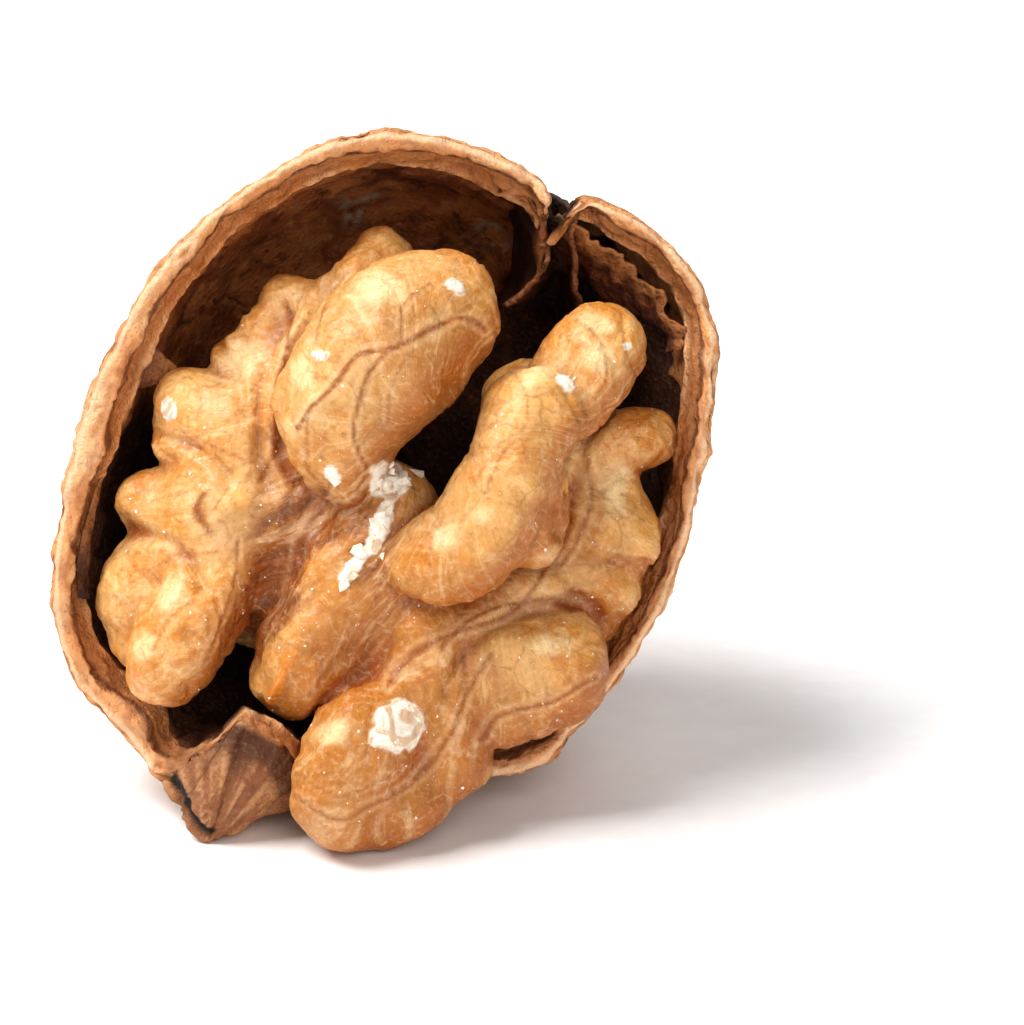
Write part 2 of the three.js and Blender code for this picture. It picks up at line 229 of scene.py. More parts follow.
def to_frame(points):
    """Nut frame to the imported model's frame without its sideways place: turns the open face upright,
    leans it back and lifts it to its height.  Still in millimetres."""
    a, b, c = np.moveaxis(np.asarray(points, float), -1, 0)
    return np.stack(
        [
            a,
            b * math.sin(LEAN) - c * math.cos(LEAN),
            b * math.cos(LEAN) + c * math.sin(LEAN) + FLOOR_DROP,
        ],
        axis=-1,
    )


def cup_wall(degrees, rim_radius, down, inset):
    """A plain point of the cup.  down goes from 0 at the rim to 1 at the bottom.  The rim's outline
    turns into the rounder cheek, an ellipse, within CHEEK_START, and shrinks as a superellipse:
    across = cos(q)^(2/n) and along = sin(q)^(2/n), with q a quarter turn times down."""
    turn = np.radians(degrees)
    below = smooth_step(0.3, 0.8, -np.sin(turn))
    widest = rim_radius * (CHEEK_SIDE + (CHEEK_UNDER - CHEEK_SIDE) * below)
    cheek = 1 / np.hypot(np.cos(turn) / CHEEK_HALF_WIDTH, np.sin(turn) / CHEEK_HALF_HEIGHT)
    towards = smooth_step(0, CHEEK_START, down)
    radius = rim_radius + (np.minimum(cheek, widest) - rim_radius) * towards
    quarter = down * math.pi / 2
    across = np.cos(quarter).clip(0) ** (2 / CUP_SQUARENESS)
    along = np.sin(quarter).clip(0) ** (2 / CUP_SQUARENESS)
    reach = (radius - inset).clip(0) * across
    across_b = CENTRE[1] + reach * np.sin(turn)
    behind = -(CUP_DEPTH - inset) * along
    return np.stack(np.broadcast_arrays(CENTRE[0] + reach * np.cos(turn), across_b, behind), axis=-1)


def sideways_place():
    """How far to shift the nut sideways: the plain cup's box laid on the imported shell's box."""
    turns = np.linspace(0, 360, 721)[:, None]
    downs = np.linspace(0, 1, 61)[None, :]
    plain = to_frame(cup_wall(turns + 0 * downs, radius_round(RIM_OUTSIDE, turns), downs + 0 * turns, 0.0))
    low, high = (np.array(corner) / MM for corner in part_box("half_shell"))
    middle = (low[0] + high[0]) / 2 - (plain[..., 0].min() + plain[..., 0].max()) / 2
    return np.array([middle, high[1] - plain[..., 1].max(), 0.0])


SIDEWAYS = sideways_place()


def stand_up(points):
    """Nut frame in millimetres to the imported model's frame in metres."""
    return (to_frame(points) + SIDEWAYS) * MM


def kept_above(points, least):
    """The points, with those less than `least` mm above the floor raised straight up to it."""
    lift = np.clip(least - to_frame(points)[:, 2], 0, None)
    return points + lift[:, None] * [0.0, math.cos(LEAN), math.sin(LEAN)]


def make_piece(name, points, faces, material, values=None):
    """A mesh object at the origin from nut-frame points and faces, with its point attributes."""
    mesh = bpy.data.meshes.new(name)
    mesh.from_pydata(stand_up(points).tolist(), [], np.asarray(faces).tolist())
    mesh.polygons.foreach_set("use_smooth", np.ones(len(mesh.polygons), bool))
    for label, numbers in (values or {}).items():
        layer = mesh.attributes.new(label, "FLOAT", "POINT")
        layer.data.foreach_set("value", np.asarray(numbers, np.float32))
    mesh.materials.append(material)
    mesh.validate()
    piece = bpy.data.objects.new(name, mesh)
    bpy.context.scene.collection.objects.link(piece)
    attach(piece, "root")
    return piece


def grid_faces(rows, columns, joined):
    """Four-cornered faces between the points of a grid, its last column joined to its first or not."""
    r, k = np.meshgrid(np.arange(rows - 1), np.arange(columns if joined else columns - 1), indexing="ij")
    r, k = r.ravel(), k.ravel()
    following = (k + 1) % columns
    return np.stack(
        [r * columns + k, r * columns + following, (r + 1) * columns + following, (r + 1) * columns + k],
        axis=1,
    )


# ---- materials ---------------------------------------------------------------------------------------


def linear(hex_colour):
    """sRGB hex to a linear colour with alpha 1."""
    srgb = [int(hex_colour[i:i + 2], 16) / 255 for i in (1, 3, 5)]
    return [v / 12.92 if v <= 0.04045 else ((v + 0.055) / 1.055) ** 2.4 for v in srgb] + [1.0]


def put(tree, kind, inputs=None, out=0, **settings):
    """Adds a node with its own settings, and its inputs as values, hex colours or links, and gives
    back its output `out`."""
    node = tree.nodes.new("ShaderNode" + kind)
    for key, value in settings.items():
        setattr(node, key, value)
    for key, value in (inputs or {}).items():
        if isinstance(value, bpy.types.NodeSocket):
            tree.links.new(value, node.inputs[key])
        else:
            node.inputs[key].default_value = linear(value) if isinstance(value, str) else value
    return node.outputs[out] if len(node.outputs) else None


def coats(tree, colour, *layers):
    """Lays colours over each other.  A layer is its colour, its strength, and one or more patterns,
    each with the level where the layer is bare and the level where it is full; it covers by the
    product of its patterns' smooth steps."""
    for over, share, *patterns in layers:
        for pattern, bare, full in patterns:
            levels = {"Value": pattern, "From Min": bare, "From Max": full, "To Min": 0.0, "To Max": share}
            share = put(tree, "MapRange", levels, interpolation_type="SMOOTHSTEP")
        colour = put(tree, "Mix", {0: share, 6: colour, 7: over}, out=2, data_type="RGBA")
    return colour


def piled(tree, start, *parts):
    """start plus each pattern times its weight."""
    total = start
    for pattern, weight in parts:
        total = put(tree, "Math", {0: pattern, 1: weight, 2: total}, operation="MULTIPLY_ADD")
    return total


def filaments(tree, place, cell, bend, seed):
    """Distance from a net of fine threads: the borders of cells `cell` mm across, which a noise bends
    by `bend` mm.  seed moves the net to another part of the pattern."""
    wander = {"Vector": place, "Scale": 1 / (cell * 0.8 * MM), "Detail": 2.5}
    warp = put(tree, "TexNoise", wander, out="Color")
    moved = put(tree, "VectorMath", {0: warp, 1: (bend * MM,) * 3, 2: place}, operation="MULTIPLY_ADD")
    shifted = put(tree, "VectorMath", {0: moved, 1: (seed * MM,) * 3}, operation="ADD")
    return put(tree, "TexVoronoi", {"Vector": shifted, "Scale": 1 / (cell * MM)}, feature="DISTANCE_TO_EDGE")


def finished(name, make):
    """A new material: make(tree, place) fills it, place being the object's coordinates."""
    material = bpy.data.materials.new(name)
    material.use_nodes = True
    tree = material.node_tree
    tree.nodes.clear()
    shader = make(tree, put(tree, "TexCoord", out="Object"))
    put(tree, "OutputMaterial", {"Surface": shader})
    return material


def kernel_skin(tree, place):
    """Walnut kernel in its thin papery skin, dried: a waxy, slightly see-through honey skin over cream
    flesh, so light spreads under it and bulges look yellow and soft.  A matt pinkish-beige membrane
    clings to the flats and hollows; creases, hollows and the sides facing right and down are painted
    orange brown as shade, bulges and some round spots are painted paler as light, fine streaks run
    outward over the skin, veins are raised brown lines with pale borders, the saddle is ribbed with
    dark fibres, and where the skin has flaked off the flesh is white and rough."""
    names = ("hollow", "deep", "vein", "vein_border", "flake", "pale", "brown", "fibre", "crest",
             "tone_and_shade", "under", "ray_a", "ray_b", "ray_out")
    hollow, deep, vein, border, flake, pale, brown, fibre, crest, tone_and_shade, under, *ray = (
        put(tree, "Attribute", attribute_name=name, out="Fac") for name in names
    )
    rays = put(tree, "CombineXYZ", {0: ray[0], 1: ray[1], 2: ray[2]})
    streak, patches, mottle, grain = (
        put(tree, "TexNoise", {"Vector": where, "Scale": 1 / (size * MM), "Detail": detail,
                               "Roughness": roughness, "Distortion": distortion})
        for where, size, detail, roughness, distortion in (
            (rays, 0.7, 6.0, 0.66, 0.25),
            (place, 5, 4.0, 0.5, 0.4),
            (place, 1.5, 5.0, 0.62, 0.9),
            (place, 0.35, 4.0, 0.6, 0.0),
        )
    )
    specks = put(tree, "TexVoronoi", {"Vector": place, "Scale": 1 / (1.2 * MM)}, feature="F1")
    broad_net = filaments(tree, place, 3.4, 3.4, 0.0)
    pale_net = filaments(tree, place, 2.3, 2.2, 9.0)
    thin_net = filaments(tree, place, 1.3, 1.8, 21.0)

    base = coats(
        tree, "#D88C34",
        ("#EDAF5F", 1.0, (patches, 0.38, 0.62)),
        ("#F9CC8C", 0.6, (mottle, 0.44, 0.68)),
        ("#D9AA6E", 0.8, (hollow, 0.22, 0.48), (patches, 0.28, 0.55)),
        # browner towards the bottom and in the TONES rounds, two of which are painted shade
        ("#B8721F", 0.85, (tone_and_shade, 0.0, 1.0)),
        # painted shade: the lobes' sides that face right and down are painted orange brown, as if turned
        # from the light
        ("#A65606", 0.74, (under, 0.0, 1.0)),
        # painted shade: hollows and wider hollows are painted orange brown, as the shade in creases
        ("#9C4C14", 0.9, (hollow, 0.52, 0.95)),
        ("#A85C1A", 0.65, (deep, 0.5, 0.9)),
        # painted highlight: bulges, away from the hollows, are painted paler
        ("#F9CE8A", 0.35, (hollow, 0.3, 0.05)),
        ("#A45F20", 0.8, (brown, 0.0, 1.0)),
        ("#84461C", 0.55, (fibre, 0.0, 1.0)),
        ("#DC8628", 1.0, (crest, 0.0, 0.8)),
        ("#A5642C", 0.2, (streak, 0.52, 0.66)),
        ("#FCE0B0", 0.3, (streak, 0.46, 0.34)),
        ("#8A4E20", 0.16, (streak, 0.5, 0.64), (tone_and_shade, 0.2, 0.9)),
        ("#713A15", 0.8, (streak, 0.5, 0.60), (brown, 0.1, 0.7)),
        ("#E3BC96", 0.3, (streak, 0.47, 0.38), (brown, 0.1, 0.7)),
        # pale spots: paler flesh showing through, and in places painted light on lit parts
        ("#FFE3AE", 0.65, (pale, 0.0, 1.0)),
        ("#A9683A", 0.30, (thin_net, 0.07, 0.0), (patches, 0.62, 0.42)),
        ("#A5652F", 0.38, (broad_net, 0.05, 0.0), (patches, 0.42, 0.6)),
        ("#FBE2BA", 0.2, (pale_net, 0.035, 0.0), (mottle, 0.42, 0.6)),
        ("#F8D8AC", 0.25, (border, 0.0, 1.0)),
        ("#87431D", 0.8, (vein, 0.0, 1.0)),
        ("#8E4D1F", 0.5, (specks, 0.08, 0.04)),
        ("#FFE4BC", 0.25, (grain, 0.5, 0.75)),
        ("#7E4418", 0.25, (grain, 0.48, 0.28)),
        ("#FBF1E2", 1.0, (flake, 0.0, 1.0)),
        ("#D3AA80", 0.8, (flake, 0.5, 1.0), (mottle, 0.47, 0.58)),
    )
    height = piled(tree, 0.0, (grain, 0.5), (mottle, 0.8), (streak, 0.6), (flake, 0.3))
    bump = put(tree, "Bump", {"Height": height, "Strength": 0.7, "Distance": 0.3 * MM})
    rough = piled(tree, 0.26, (mottle, 0.22), (hollow, 0.12), (flake, 0.35))
    return put(tree, "BsdfPrincipled", {
        "Base Color": base, "Roughness": rough, "IOR": 1.46, "Subsurface Weight": 0.22,
        "Subsurface Radius": (1.0, 0.5, 0.17), "Subsurface Scale": 0.6 * MM,
        "Coat Weight": 0.22, "Coat Roughness": 0.22, "Normal": bump,
    })


def shell_wood(tree, place):
    """Dried walnut shell, a thin lignified wood: outside matt tan with darker wrinkles, the broken rim
    pale orange tan and blotched, the inside brown and veined with scraps of lighter lining, near
    black in the suture, and with a few grey-white spots of mould."""
    names = ("lip", "inside", "seam", "groove", "edge", "beak", "streak", "band", "mould", "fibrous",
             "inside_shade", "beak_top_shade")
    lip, inside, seam, groove, edge, beak, streak, band, mould, fibrous, inside_shade, beak_top_shade = (
        put(tree, "Attribute", attribute_name=name, out="Fac") for name in names
    )
    patches, blotch, grain = (
        put(tree, "TexNoise", {"Vector": place, "Scale": 1 / (size * MM), "Detail": 4.0,
                               "Roughness": roughness, "Distortion": distortion})
        for size, roughness, distortion in ((3.2, 0.5, 0.5), (1.2, 0.6, 0.0), (0.3, 0.65, 0.0))
    )
    pores = put(tree, "TexVoronoi", {"Vector": place, "Scale": 1 / (0.8 * MM)}, feature="F1")

    outside = coats(
        tree, "#A86D3D",
        ("#CB935C", 1.0, (patches, 0.35, 0.68)),
        ("#DDB184", 0.4, (blotch, 0.5, 0.75)),
        ("#6B3D1C", 0.8, (groove, 0.0, 1.0)),
    )
    broken = coats(
        tree, "#E19F68",
        ("#B67A52", 0.6, (blotch, 0.46, 0.62)),
        ("#F3C293", 0.8, (patches, 0.45, 0.68)),
        ("#FCD4AC", 0.7, (edge, 0.1, 1.0)),
        # the lower fibrous part of the lip is darker brown: its own colour, and painted shade where it sinks
        # below the light outer part
        ("#A5642F", 0.8, (fibrous, 0.0, 1.0)),
        ("#C98A50", 0.6, (fibrous, 0.0, 1.0), (blotch, 0.5, 0.66)),
        ("#6B3A1A", 0.8, (groove, 0.1, 1.0)),
    )
    lining = coats(
        tree, "#92522A",
        ("#C07A44", 1.0, (patches, 0.42, 0.62)),
        ("#D49A66", 0.6, (blotch, 0.52, 0.70)),
        ("#4A2210", 0.7, (blotch, 0.46, 0.32)),
        ("#2C1206", 0.6, (groove, 0.1, 1.0)),
        # painted shade: the right and lower parts of the inside, near black
        ("#2A1107", 0.88, (inside_shade, 0.0, 1.0)),
        ("#B97C49", 0.9, (band, 0.0, 1.0)),
        ("#8A5029", 0.7, (band, 0.0, 1.0), (blotch, 0.48, 0.62)),
        ("#C9BCA8", 0.75, (mould, 0.0, 1.0)),
    )
    plate = coats(
        tree, "#965E38",
        ("#CF9A68", 0.9, (streak, 0.35, 0.75), (blotch, 0.35, 0.6)),
        ("#5A3013", 0.5, (blotch, 0.5, 0.75)),
        # painted shade: the beak's plate darker towards its top, away from the tip
        ("#4A2209", 0.85, (beak_top_shade, 0.35, 0.9)),
    )
    base = coats(
        tree, outside,
        (broken, 1.0, (lip, 0.0, 1.0)),
        (lining, 1.0, (inside, 0.0, 1.0)),
        (plate, 1.0, (beak, 0.0, 1.0)),
        ("#F0CFA6", 0.22, (grain, 0.5, 0.8)),
        ("#5A3216", 0.25, (grain, 0.45, 0.25)),
        ("#4A2A12", 0.35, (pores, 0.14, 0.05)),
        ("#160C07", 1.0, (seam, 0.0, 1.0)),
    )
    height = piled(tree, 0.0, (grain, 0.7), (blotch, 0.9))
    bump = put(tree, "Bump", {"Height": height, "Strength": 0.85, "Distance": 0.35 * MM})
    return put(tree, "BsdfPrincipled", {"Base Color": base, "Roughness": 0.6, "IOR": 1.5, "Normal": bump})


def papery_lining(tree, place):
    """The dried inner membrane of the nut: thin, dull, fibrous brown paper, lighter at its torn edge,
    and painted near black as shade in its folds and where it runs in towards the wall."""
    torn, dark = (put(tree, "Attribute", attribute_name=name, out="Fac") for name in ("torn", "dark"))
    cloudy = {"Vector": place, "Scale": 1 / (1.4 * MM), "Detail": 5.0, "Distortion": 0.6}
    patches = put(tree, "TexNoise", cloudy)
    grain = put(tree, "TexNoise", {"Vector": place, "Scale": 1 / (0.3 * MM), "Detail": 3.0})
    base = coats(
        tree, "#4E2410",
        ("#8A4E29", 1.0, (patches, 0.35, 0.7)),
        ("#C08450", 0.8, (torn, 0.0, 1.0)),
        ("#2E1408", 0.6, (grain, 0.5, 0.3)),
        # painted shade: near black where a scrap lies deep in a fold or against the wall
        ("#1C0D06", 0.92, (dark, 0.0, 1.0)),
    )
    height = piled(tree, 0.0, (grain, 0.8), (patches, 1.0))
    bump = put(tree, "Bump", {"Height": height, "Strength": 0.9, "Distance": 0.35 * MM})
    return put(tree, "BsdfPrincipled", {"Base Color": base, "Roughness": 0.65, "IOR": 1.5, "Normal": bump})


def crumb_flesh(tree, place):
    """Crushed kernel flesh: dry, crumbly and nearly white."""
    patches = put(tree, "TexNoise", {"Vector": place, "Scale": 1 / (0.5 * MM), "Detail": 2.0})
    base = coats(tree, "#F3DDBD", ("#FFFAF0", 1.0, (patches, 0.3, 0.6)))
    return put(tree, "BsdfPrincipled", {"Base Color": base, "Roughness": 0.75})


def white_paper(tree, place):
    """Bright white paper, faintly cloudy, under the nut."""
    fibre = put(tree, "TexNoise", {"Vector": place, "Scale": 1 / (2 * MM), "Detail": 2.0})
    colour = coats(tree, "#FBF9FA", ("#FFFFFF", 1.0, (fibre, 0.2, 0.8)))
    return put(tree, "BsdfPrincipled", {"Base Color": colour, "Roughness": 0.8, "Specular IOR Level": 0.2})


# ---- the kernel --------------------------------------------------------------------------------------

STEP = 0.225  # spacing of the kernel's distance field
SQUARE = 0.3  # side of the squares by which the kernel's foremost points are looked up
SQUARES = 160
RAYS_FROM = np.array([3.6, 1.0])  # [a, b] in the gap between the arms, where the skin's streaks start
FIELD_LOW = np.array([-17.6, -24.6, -11.0])
FIELD_HIGH = np.array([17.8, 14.0, 10.0])
FAR_OFF = 4.0  # the field's value away from every lobe
WALL_SOFTNESS = 0.5  # how softly the kernel's cut by the cup's wall is rounded


def cavity_distance(points):
    """How far a point lies outside the hollow of the cup: its distance from the axis less the inside
    radius at its depth.  In front of the open face the allowed radius opens out at 3 to 1."""
    a, b, c = np.moveaxis(points, -1, 0)
    degrees = np.degrees(np.arctan2(b - CENTRE[1], a - CENTRE[0])) % 360
    inside = radius_round(RIM_INSIDE, degrees)
    depth = np.clip(-c / (CUP_DEPTH - WALL_BACK), 0, 1)
    across = (1 - depth**CUP_SQUARENESS) ** (1 / CUP_SQUARENESS)
    allowed = inside * across - 0.12 + np.clip(c - 0.3, 0, None) * 3
    return (np.hypot(a - CENTRE[0], b - CENTRE[1]) - allowed) * 0.8


def kernel_field():
    """A distance to the kernel's skin on a grid.  Each lobe is a chain of round cones; lobes are
    joined by the soft minimum: with h = max(k - |d1 - d2|, 0) / k, min(d1, d2) - h^2 k / 4.  The
    cup's hollow and the floor then cut the whole, by the larger of the two distances."""
    axes = [np.arange(FIELD_LOW[i], FIELD_HIGH[i], STEP) for i in range(3)]
    field = np.full([len(x) for x in axes], FAR_OFF)
    for softness, centre_line in LOBES.values():
        line = open_line(centre_line, len(centre_line) * 3)
        reach = line[:, 3].max() + 2.6
        cut = tuple(
            slice(max(int((line[:, i].min() - reach - FIELD_LOW[i]) / STEP), 0),
                  int((line[:, i].max() + reach - FIELD_LOW[i]) / STEP) + 1)
            for i in range(3)
        )
        block = np.stack(np.meshgrid(*(x[s] for x, s in zip(axes, cut)), indexing="ij"), axis=-1)
        own = np.full(block.shape[:3], 9.0)
        for start, end in zip(line[:-1], line[1:]):
            along = end[:3] - start[:3]
            share = np.clip(((block - start[:3]) @ along) / (along @ along), 0, 1)
            away = np.linalg.norm(block - start[:3] - share[..., None] * along, axis=-1)
            own = np.minimum(own, away - start[3] - share * (end[3] - start[3]))
        there = field[cut]
        h = np.clip(softness - np.abs(there - own), 0, None) / softness
        field[cut] = np.minimum(there, own) - h * h * softness / 4
    grid = np.stack(np.meshgrid(*axes, indexing="ij"), axis=-1)
    wall = cavity_distance(grid)
    h = np.clip(WALL_SOFTNESS - np.abs(field - wall), 0, None) / WALL_SOFTNESS
    field = np.maximum(field, wall) + h * h * WALL_SOFTNESS / 4
    floor = 0.05 - to_frame(grid)[..., 2]
    return np.maximum(field, floor)


def skin_of(field):
    """The surface where the field is nought, as one point in each grid cell that it passes through,
    at the mean of its crossings of the cell's edges, and a face round each crossed grid edge."""
    solid = field < 0
    counts = np.array(field.shape) - 1
    total = np.zeros(tuple(counts) + (3,))
    number = np.zeros(tuple(counts))
    quads = []
    for axis in range(3):
        low = [slice(None)] * 3
        high = [slice(None)] * 3
        low[axis] = slice(0, -1)
        high[axis] = slice(1, None)
        first, second = field[tuple(low)], field[tuple(high)]
        crossing = solid[tuple(low)] != solid[tuple(high)]
        i, j, k = np.nonzero(crossing)
        edge = np.stack([i, j, k], axis=1)
        share = first[i, j, k] / (first[i, j, k] - second[i, j, k])
        place = edge.astype(float)
        place[:, axis] += share
        others = [n for n in range(3) if n != axis]
        around = []
        for one, two in ((0, 0), (1, 0), (1, 1), (0, 1)):
            cell = edge.copy()
            cell[:, others[0]] -= one
            cell[:, others[1]] -= two
            around.append(cell)
            ok = ((cell >= 0) & (cell < counts)).all(axis=1)
            np.add.at(total, tuple(cell[ok].T), place[ok])
            np.add.at(number, tuple(cell[ok].T), 1)
        inner = ((edge[:, others] >= 1) & (edge[:, others] < counts[others])).all(axis=1)
        quad = np.stack(around, axis=1)[inner]
        outward = solid[tuple(low)][i, j, k][inner]
        flip = outward if axis != 1 else ~outward
        quad[flip] = quad[flip][:, ::-1]
        quads.append(quad)
    used = number > 0
    index = np.full(tuple(counts), -1)
    index[used] = np.arange(used.sum())
    points = FIELD_LOW + total[used] / number[used][:, None] * STEP
    faces = index[tuple(np.moveaxis(np.concatenate(quads), -1, 0))]
    return points, faces[:, ::-1], np.argwhere(used)


def normals_of(points, faces):
    """Each point's normal: the sum of its faces' normals, which are the crossed diagonals."""
    p = points[faces]
    crossed = np.cross(p[:, 2] - p[:, 0], p[:, 3] - p[:, 1])
    total = np.zeros_like(points)
    for corner in range(4):
        np.add.at(total, faces[:, corner], crossed)
    return total / np.linalg.norm(total, axis=1, keepdims=True).clip(1e-9)


def laid_flat(points):
    """[a, b] of each point seen square on from 7 degrees above the open face's own axis: b - c tan 7.
    Veins, bare spots and crumbs are placed in this plane."""
    return points[:, :2] - points[:, 2:] * np.array([0.0, math.tan(FACING)])


def away_from_line(flat, route):
    """Distance from each flat [a, b] to a smooth line through the route."""
    line = open_line(route, 8 * len(route))
    best = np.full(len(flat), 99.0)
    for start, end in zip(line[:-1], line[1:]):
        along = end - start
        share = np.clip(((flat - start) @ along) / (along @ along), 0, 1)
        best = np.minimum(best, np.linalg.norm(flat - start - share[:, None] * along, axis=1))
    return best


# Main veins over the front of the kernel: half width, strength, then the route [a, b].
VEINS = [
    (0.14, 1.0, [[5.9, 7.1], [4.6, 7.7], [2.8, 7.1], [0.8, 6.1], [-1.2, 5.6], [-2.4, 4.0], [-3.6, 2.6],
                 [-4.9, 1.4]]),
    (0.13, 0.9, [[0.5, 6.1], [-0.6, 4.4], [-1.2, 2.4], [-1.3, 0.6], [-0.8, -1.0]]),
    (0.12, 0.6, [[-3.6, 2.8], [-4.4, 0.8], [-4.6, -1.2], [-3.6, -2.8]]),
    (0.10, 0.6, [[0.9, 6.3], [1.2, 8.2], [3.0, 9.8]]),
    (0.10, 0.5, [[3.6, 9.6], [4.2, 8.4], [4.0, 7.5]]),
    (0.10, 0.5, [[1.4, 5.4], [0.8, 3.6], [0.6, 2.0]]),
    (0.11, 0.5, [[7.4, 5.0], [8.2, 3.2], [8.0, 1.2], [6.8, -0.6], [6.0, -2.4]]),
    (0.09, 0.5, [[8.2, 3.2], [9.6, 3.6], [10.4, 2.6]]),
    (0.09, 0.4, [[5.2, 0.6], [6.4, 0.2], [7.6, 1.0]]),
    (0.11, 0.6, [[11.2, 7.6], [12.6, 6.4], [12.9, 4.8], [12.2, 3.4]]),
    (0.15, 0.8, [[0.4, -13.2], [2.0, -11.6], [4.6, -10.4], [7.2, -9.2], [8.8, -8.0], [9.6, -6.6]]),
    (0.13, 0.8, [[3.4, -11.4], [5.2, -9.6], [7.4, -8.6], [9.8, -8.4], [11.6, -9.2]]),
    (0.12, 0.6, [[4.6, -11.6], [5.0, -13.4], [4.6, -15.4]]),
    (0.10, 0.4, [[8.6, -12.0], [9.6, -13.6], [9.4, -15.2]]),
    (0.12, 0.7, [[-5.1, -19.9], [-2.6, -21.0], [0.3, -20.3], [2.2, -18.6], [4.2, -16.2], [5.2, -13.6],
                 [6.4, -11.6]]),
    (0.10, 0.5, [[-5.6, -18.2], [-3.6, -19.2], [-1.4, -19.6], [0.6, -18.9]]),
    (0.13, 0.8, [[5.9, -16.6], [7.0, -15.2], [10.1, -14.5], [12.6, -13.2]]),
    (0.22, 0.9, [[-10.5, -2.5], [-10.9, -3.5], [-10.3, -4.6]]),
    (0.14, 0.8, [[-6.0, 9.2], [-5.7, 6.2], [-6.4, 3.4], [-6.2, 0.8], [-7.2, -1.6]]),
    (0.11, 0.5, [[-12.0, 1.6], [-9.8, 0.4], [-7.6, -0.6]]),
    (0.10, 0.5, [[-13.6, -2.8], [-10.8, -2.2], [-8.6, -3.6]]),
    (0.10, 0.5, [[-14.8, -7.4], [-12.2, -6.0], [-9.8, -5.6]]),
    (0.12, 0.7, [[-8.6, -5.4], [-8.8, -8.0], [-9.6, -10.4], [-10.6, -12.4]]),
    (0.10, 0.5, [[-11.0, -8.6], [-12.4, -9.6], [-13.4, -11.4]]),
    (0.14, 0.7, [[11.6, 0.4], [12.0, -2.0], [11.6, -4.4], [10.4, -6.4]]),
    (0.11, 0.5, [[12.0, -2.4], [13.8, -3.0], [15.4, -3.8]]),
    (0.10, 0.5, [[11.7, -4.6], [13.2, -5.6], [14.6, -6.0]]),
    (0.12, 0.6, [[-2.2, 10.6], [-3.4, 8.2], [-3.6, 6.2]]),
    (0.12, 0.6, [[-3.4, -2.4], [-5.0, -4.6], [-6.2, -7.4], [-6.9, -10.2]]),
    (0.10, 0.5, [[-1.6, -9.6], [-2.8, -12.0], [-4.2, -13.8]]),
    (0.10, 0.5, [[1.4, -8.6], [0.0, -10.8], [-1.6, -12.4]]),
]

# Folds pressed into the kernel between its lobes: half width, depth, then the route [a, b].
FOLDS = [
    (0.45, 0.55, [[-5.9, 8.8], [-6.9, 6.0], [-7.5, 2.9], [-7.3, 0.2], [-6.6, -2.2]]),
    (1.20, 0.50, [[-3.4, -2.2], [-5.6, -6.5], [-7.6, -9.8], [-8.2, -11.8]]),
    (0.50, 0.50, [[3.2, -16.4], [3.5, -14.6], [4.4, -12.2], [6.2, -10.2], [8.8, -8.9], [11.6, -8.9],
                  [13.4, -10.4]]),
    (0.45, 0.45, [[-4.0, -15.4], [-2.9, -14.0], [-0.9, -12.9], [1.0, -13.4], [2.0, -14.8]]),
    (0.40, 0.45, [[13.0, 2.6], [11.6, 0.6], [11.2, -1.8], [10.3, -4.9]]),
    (0.40, 0.45, [[-13.4, 1.3], [-10.9, 0.1], [-9.1, -1.2]]),
    (0.45, 0.45, [[-15.9, -3.9], [-13.2, -5.0], [-11.4, -6.4], [-10.6, -8.0]]),
    (0.40, 0.40, [[-9.8, 6.6], [-8.6, 4.0], [-8.2, 2.0]]),
    (0.35, 0.35, [[-3.2, 11.0], [-3.8, 8.6], [-4.6, 6.8]]),
    (0.35, 0.35, [[15.4, -6.4], [13.2, -6.2], [11.6, -5.6]]),
    (0.32, 0.50, [[-2.7, 10.4], [-5.2, 6.6], [-6.1, 1.9], [-5.5, -1.6], [-3.4, -2.8]]),
]

# Rounds where the skin is browner (above 0) or lighter (below 0) than about it: [a, b], radius, share.
# The brown rounds at [11.4, -4.2] and [4.9, 6.4] are painted shade: the right arm's shadow on the
# right wing, and the left arm's shaded edge by the cleft.
TONES = [
    ([11.4, -4.2], 2.1, 0.6), ([9.5, -11.0], 3.6, -1.2), ([-4.4, -16.4], 2.0, -0.4),
    ([-7.0, -8.8], 2.0, -0.8), ([5.0, -7.6], 3.0, 0.3), ([-1.0, -11.6], 2.6, 0.25), ([3.8, 4.6], 1.6, 0.5),
    ([4.9, 6.4], 1.2, 0.4), ([-11.7, -10.4], 0.55, 0.9), ([-10.9, -7.8], 0.6, 0.7),
    ([-10.7, -3.6], 0.7, 0.8), ([10.2, -9.0], 1.2, 0.4), ([0.9, 7.6], 3.8, 0.55), ([6.6, 0.0], 2.4, 0.12),
]

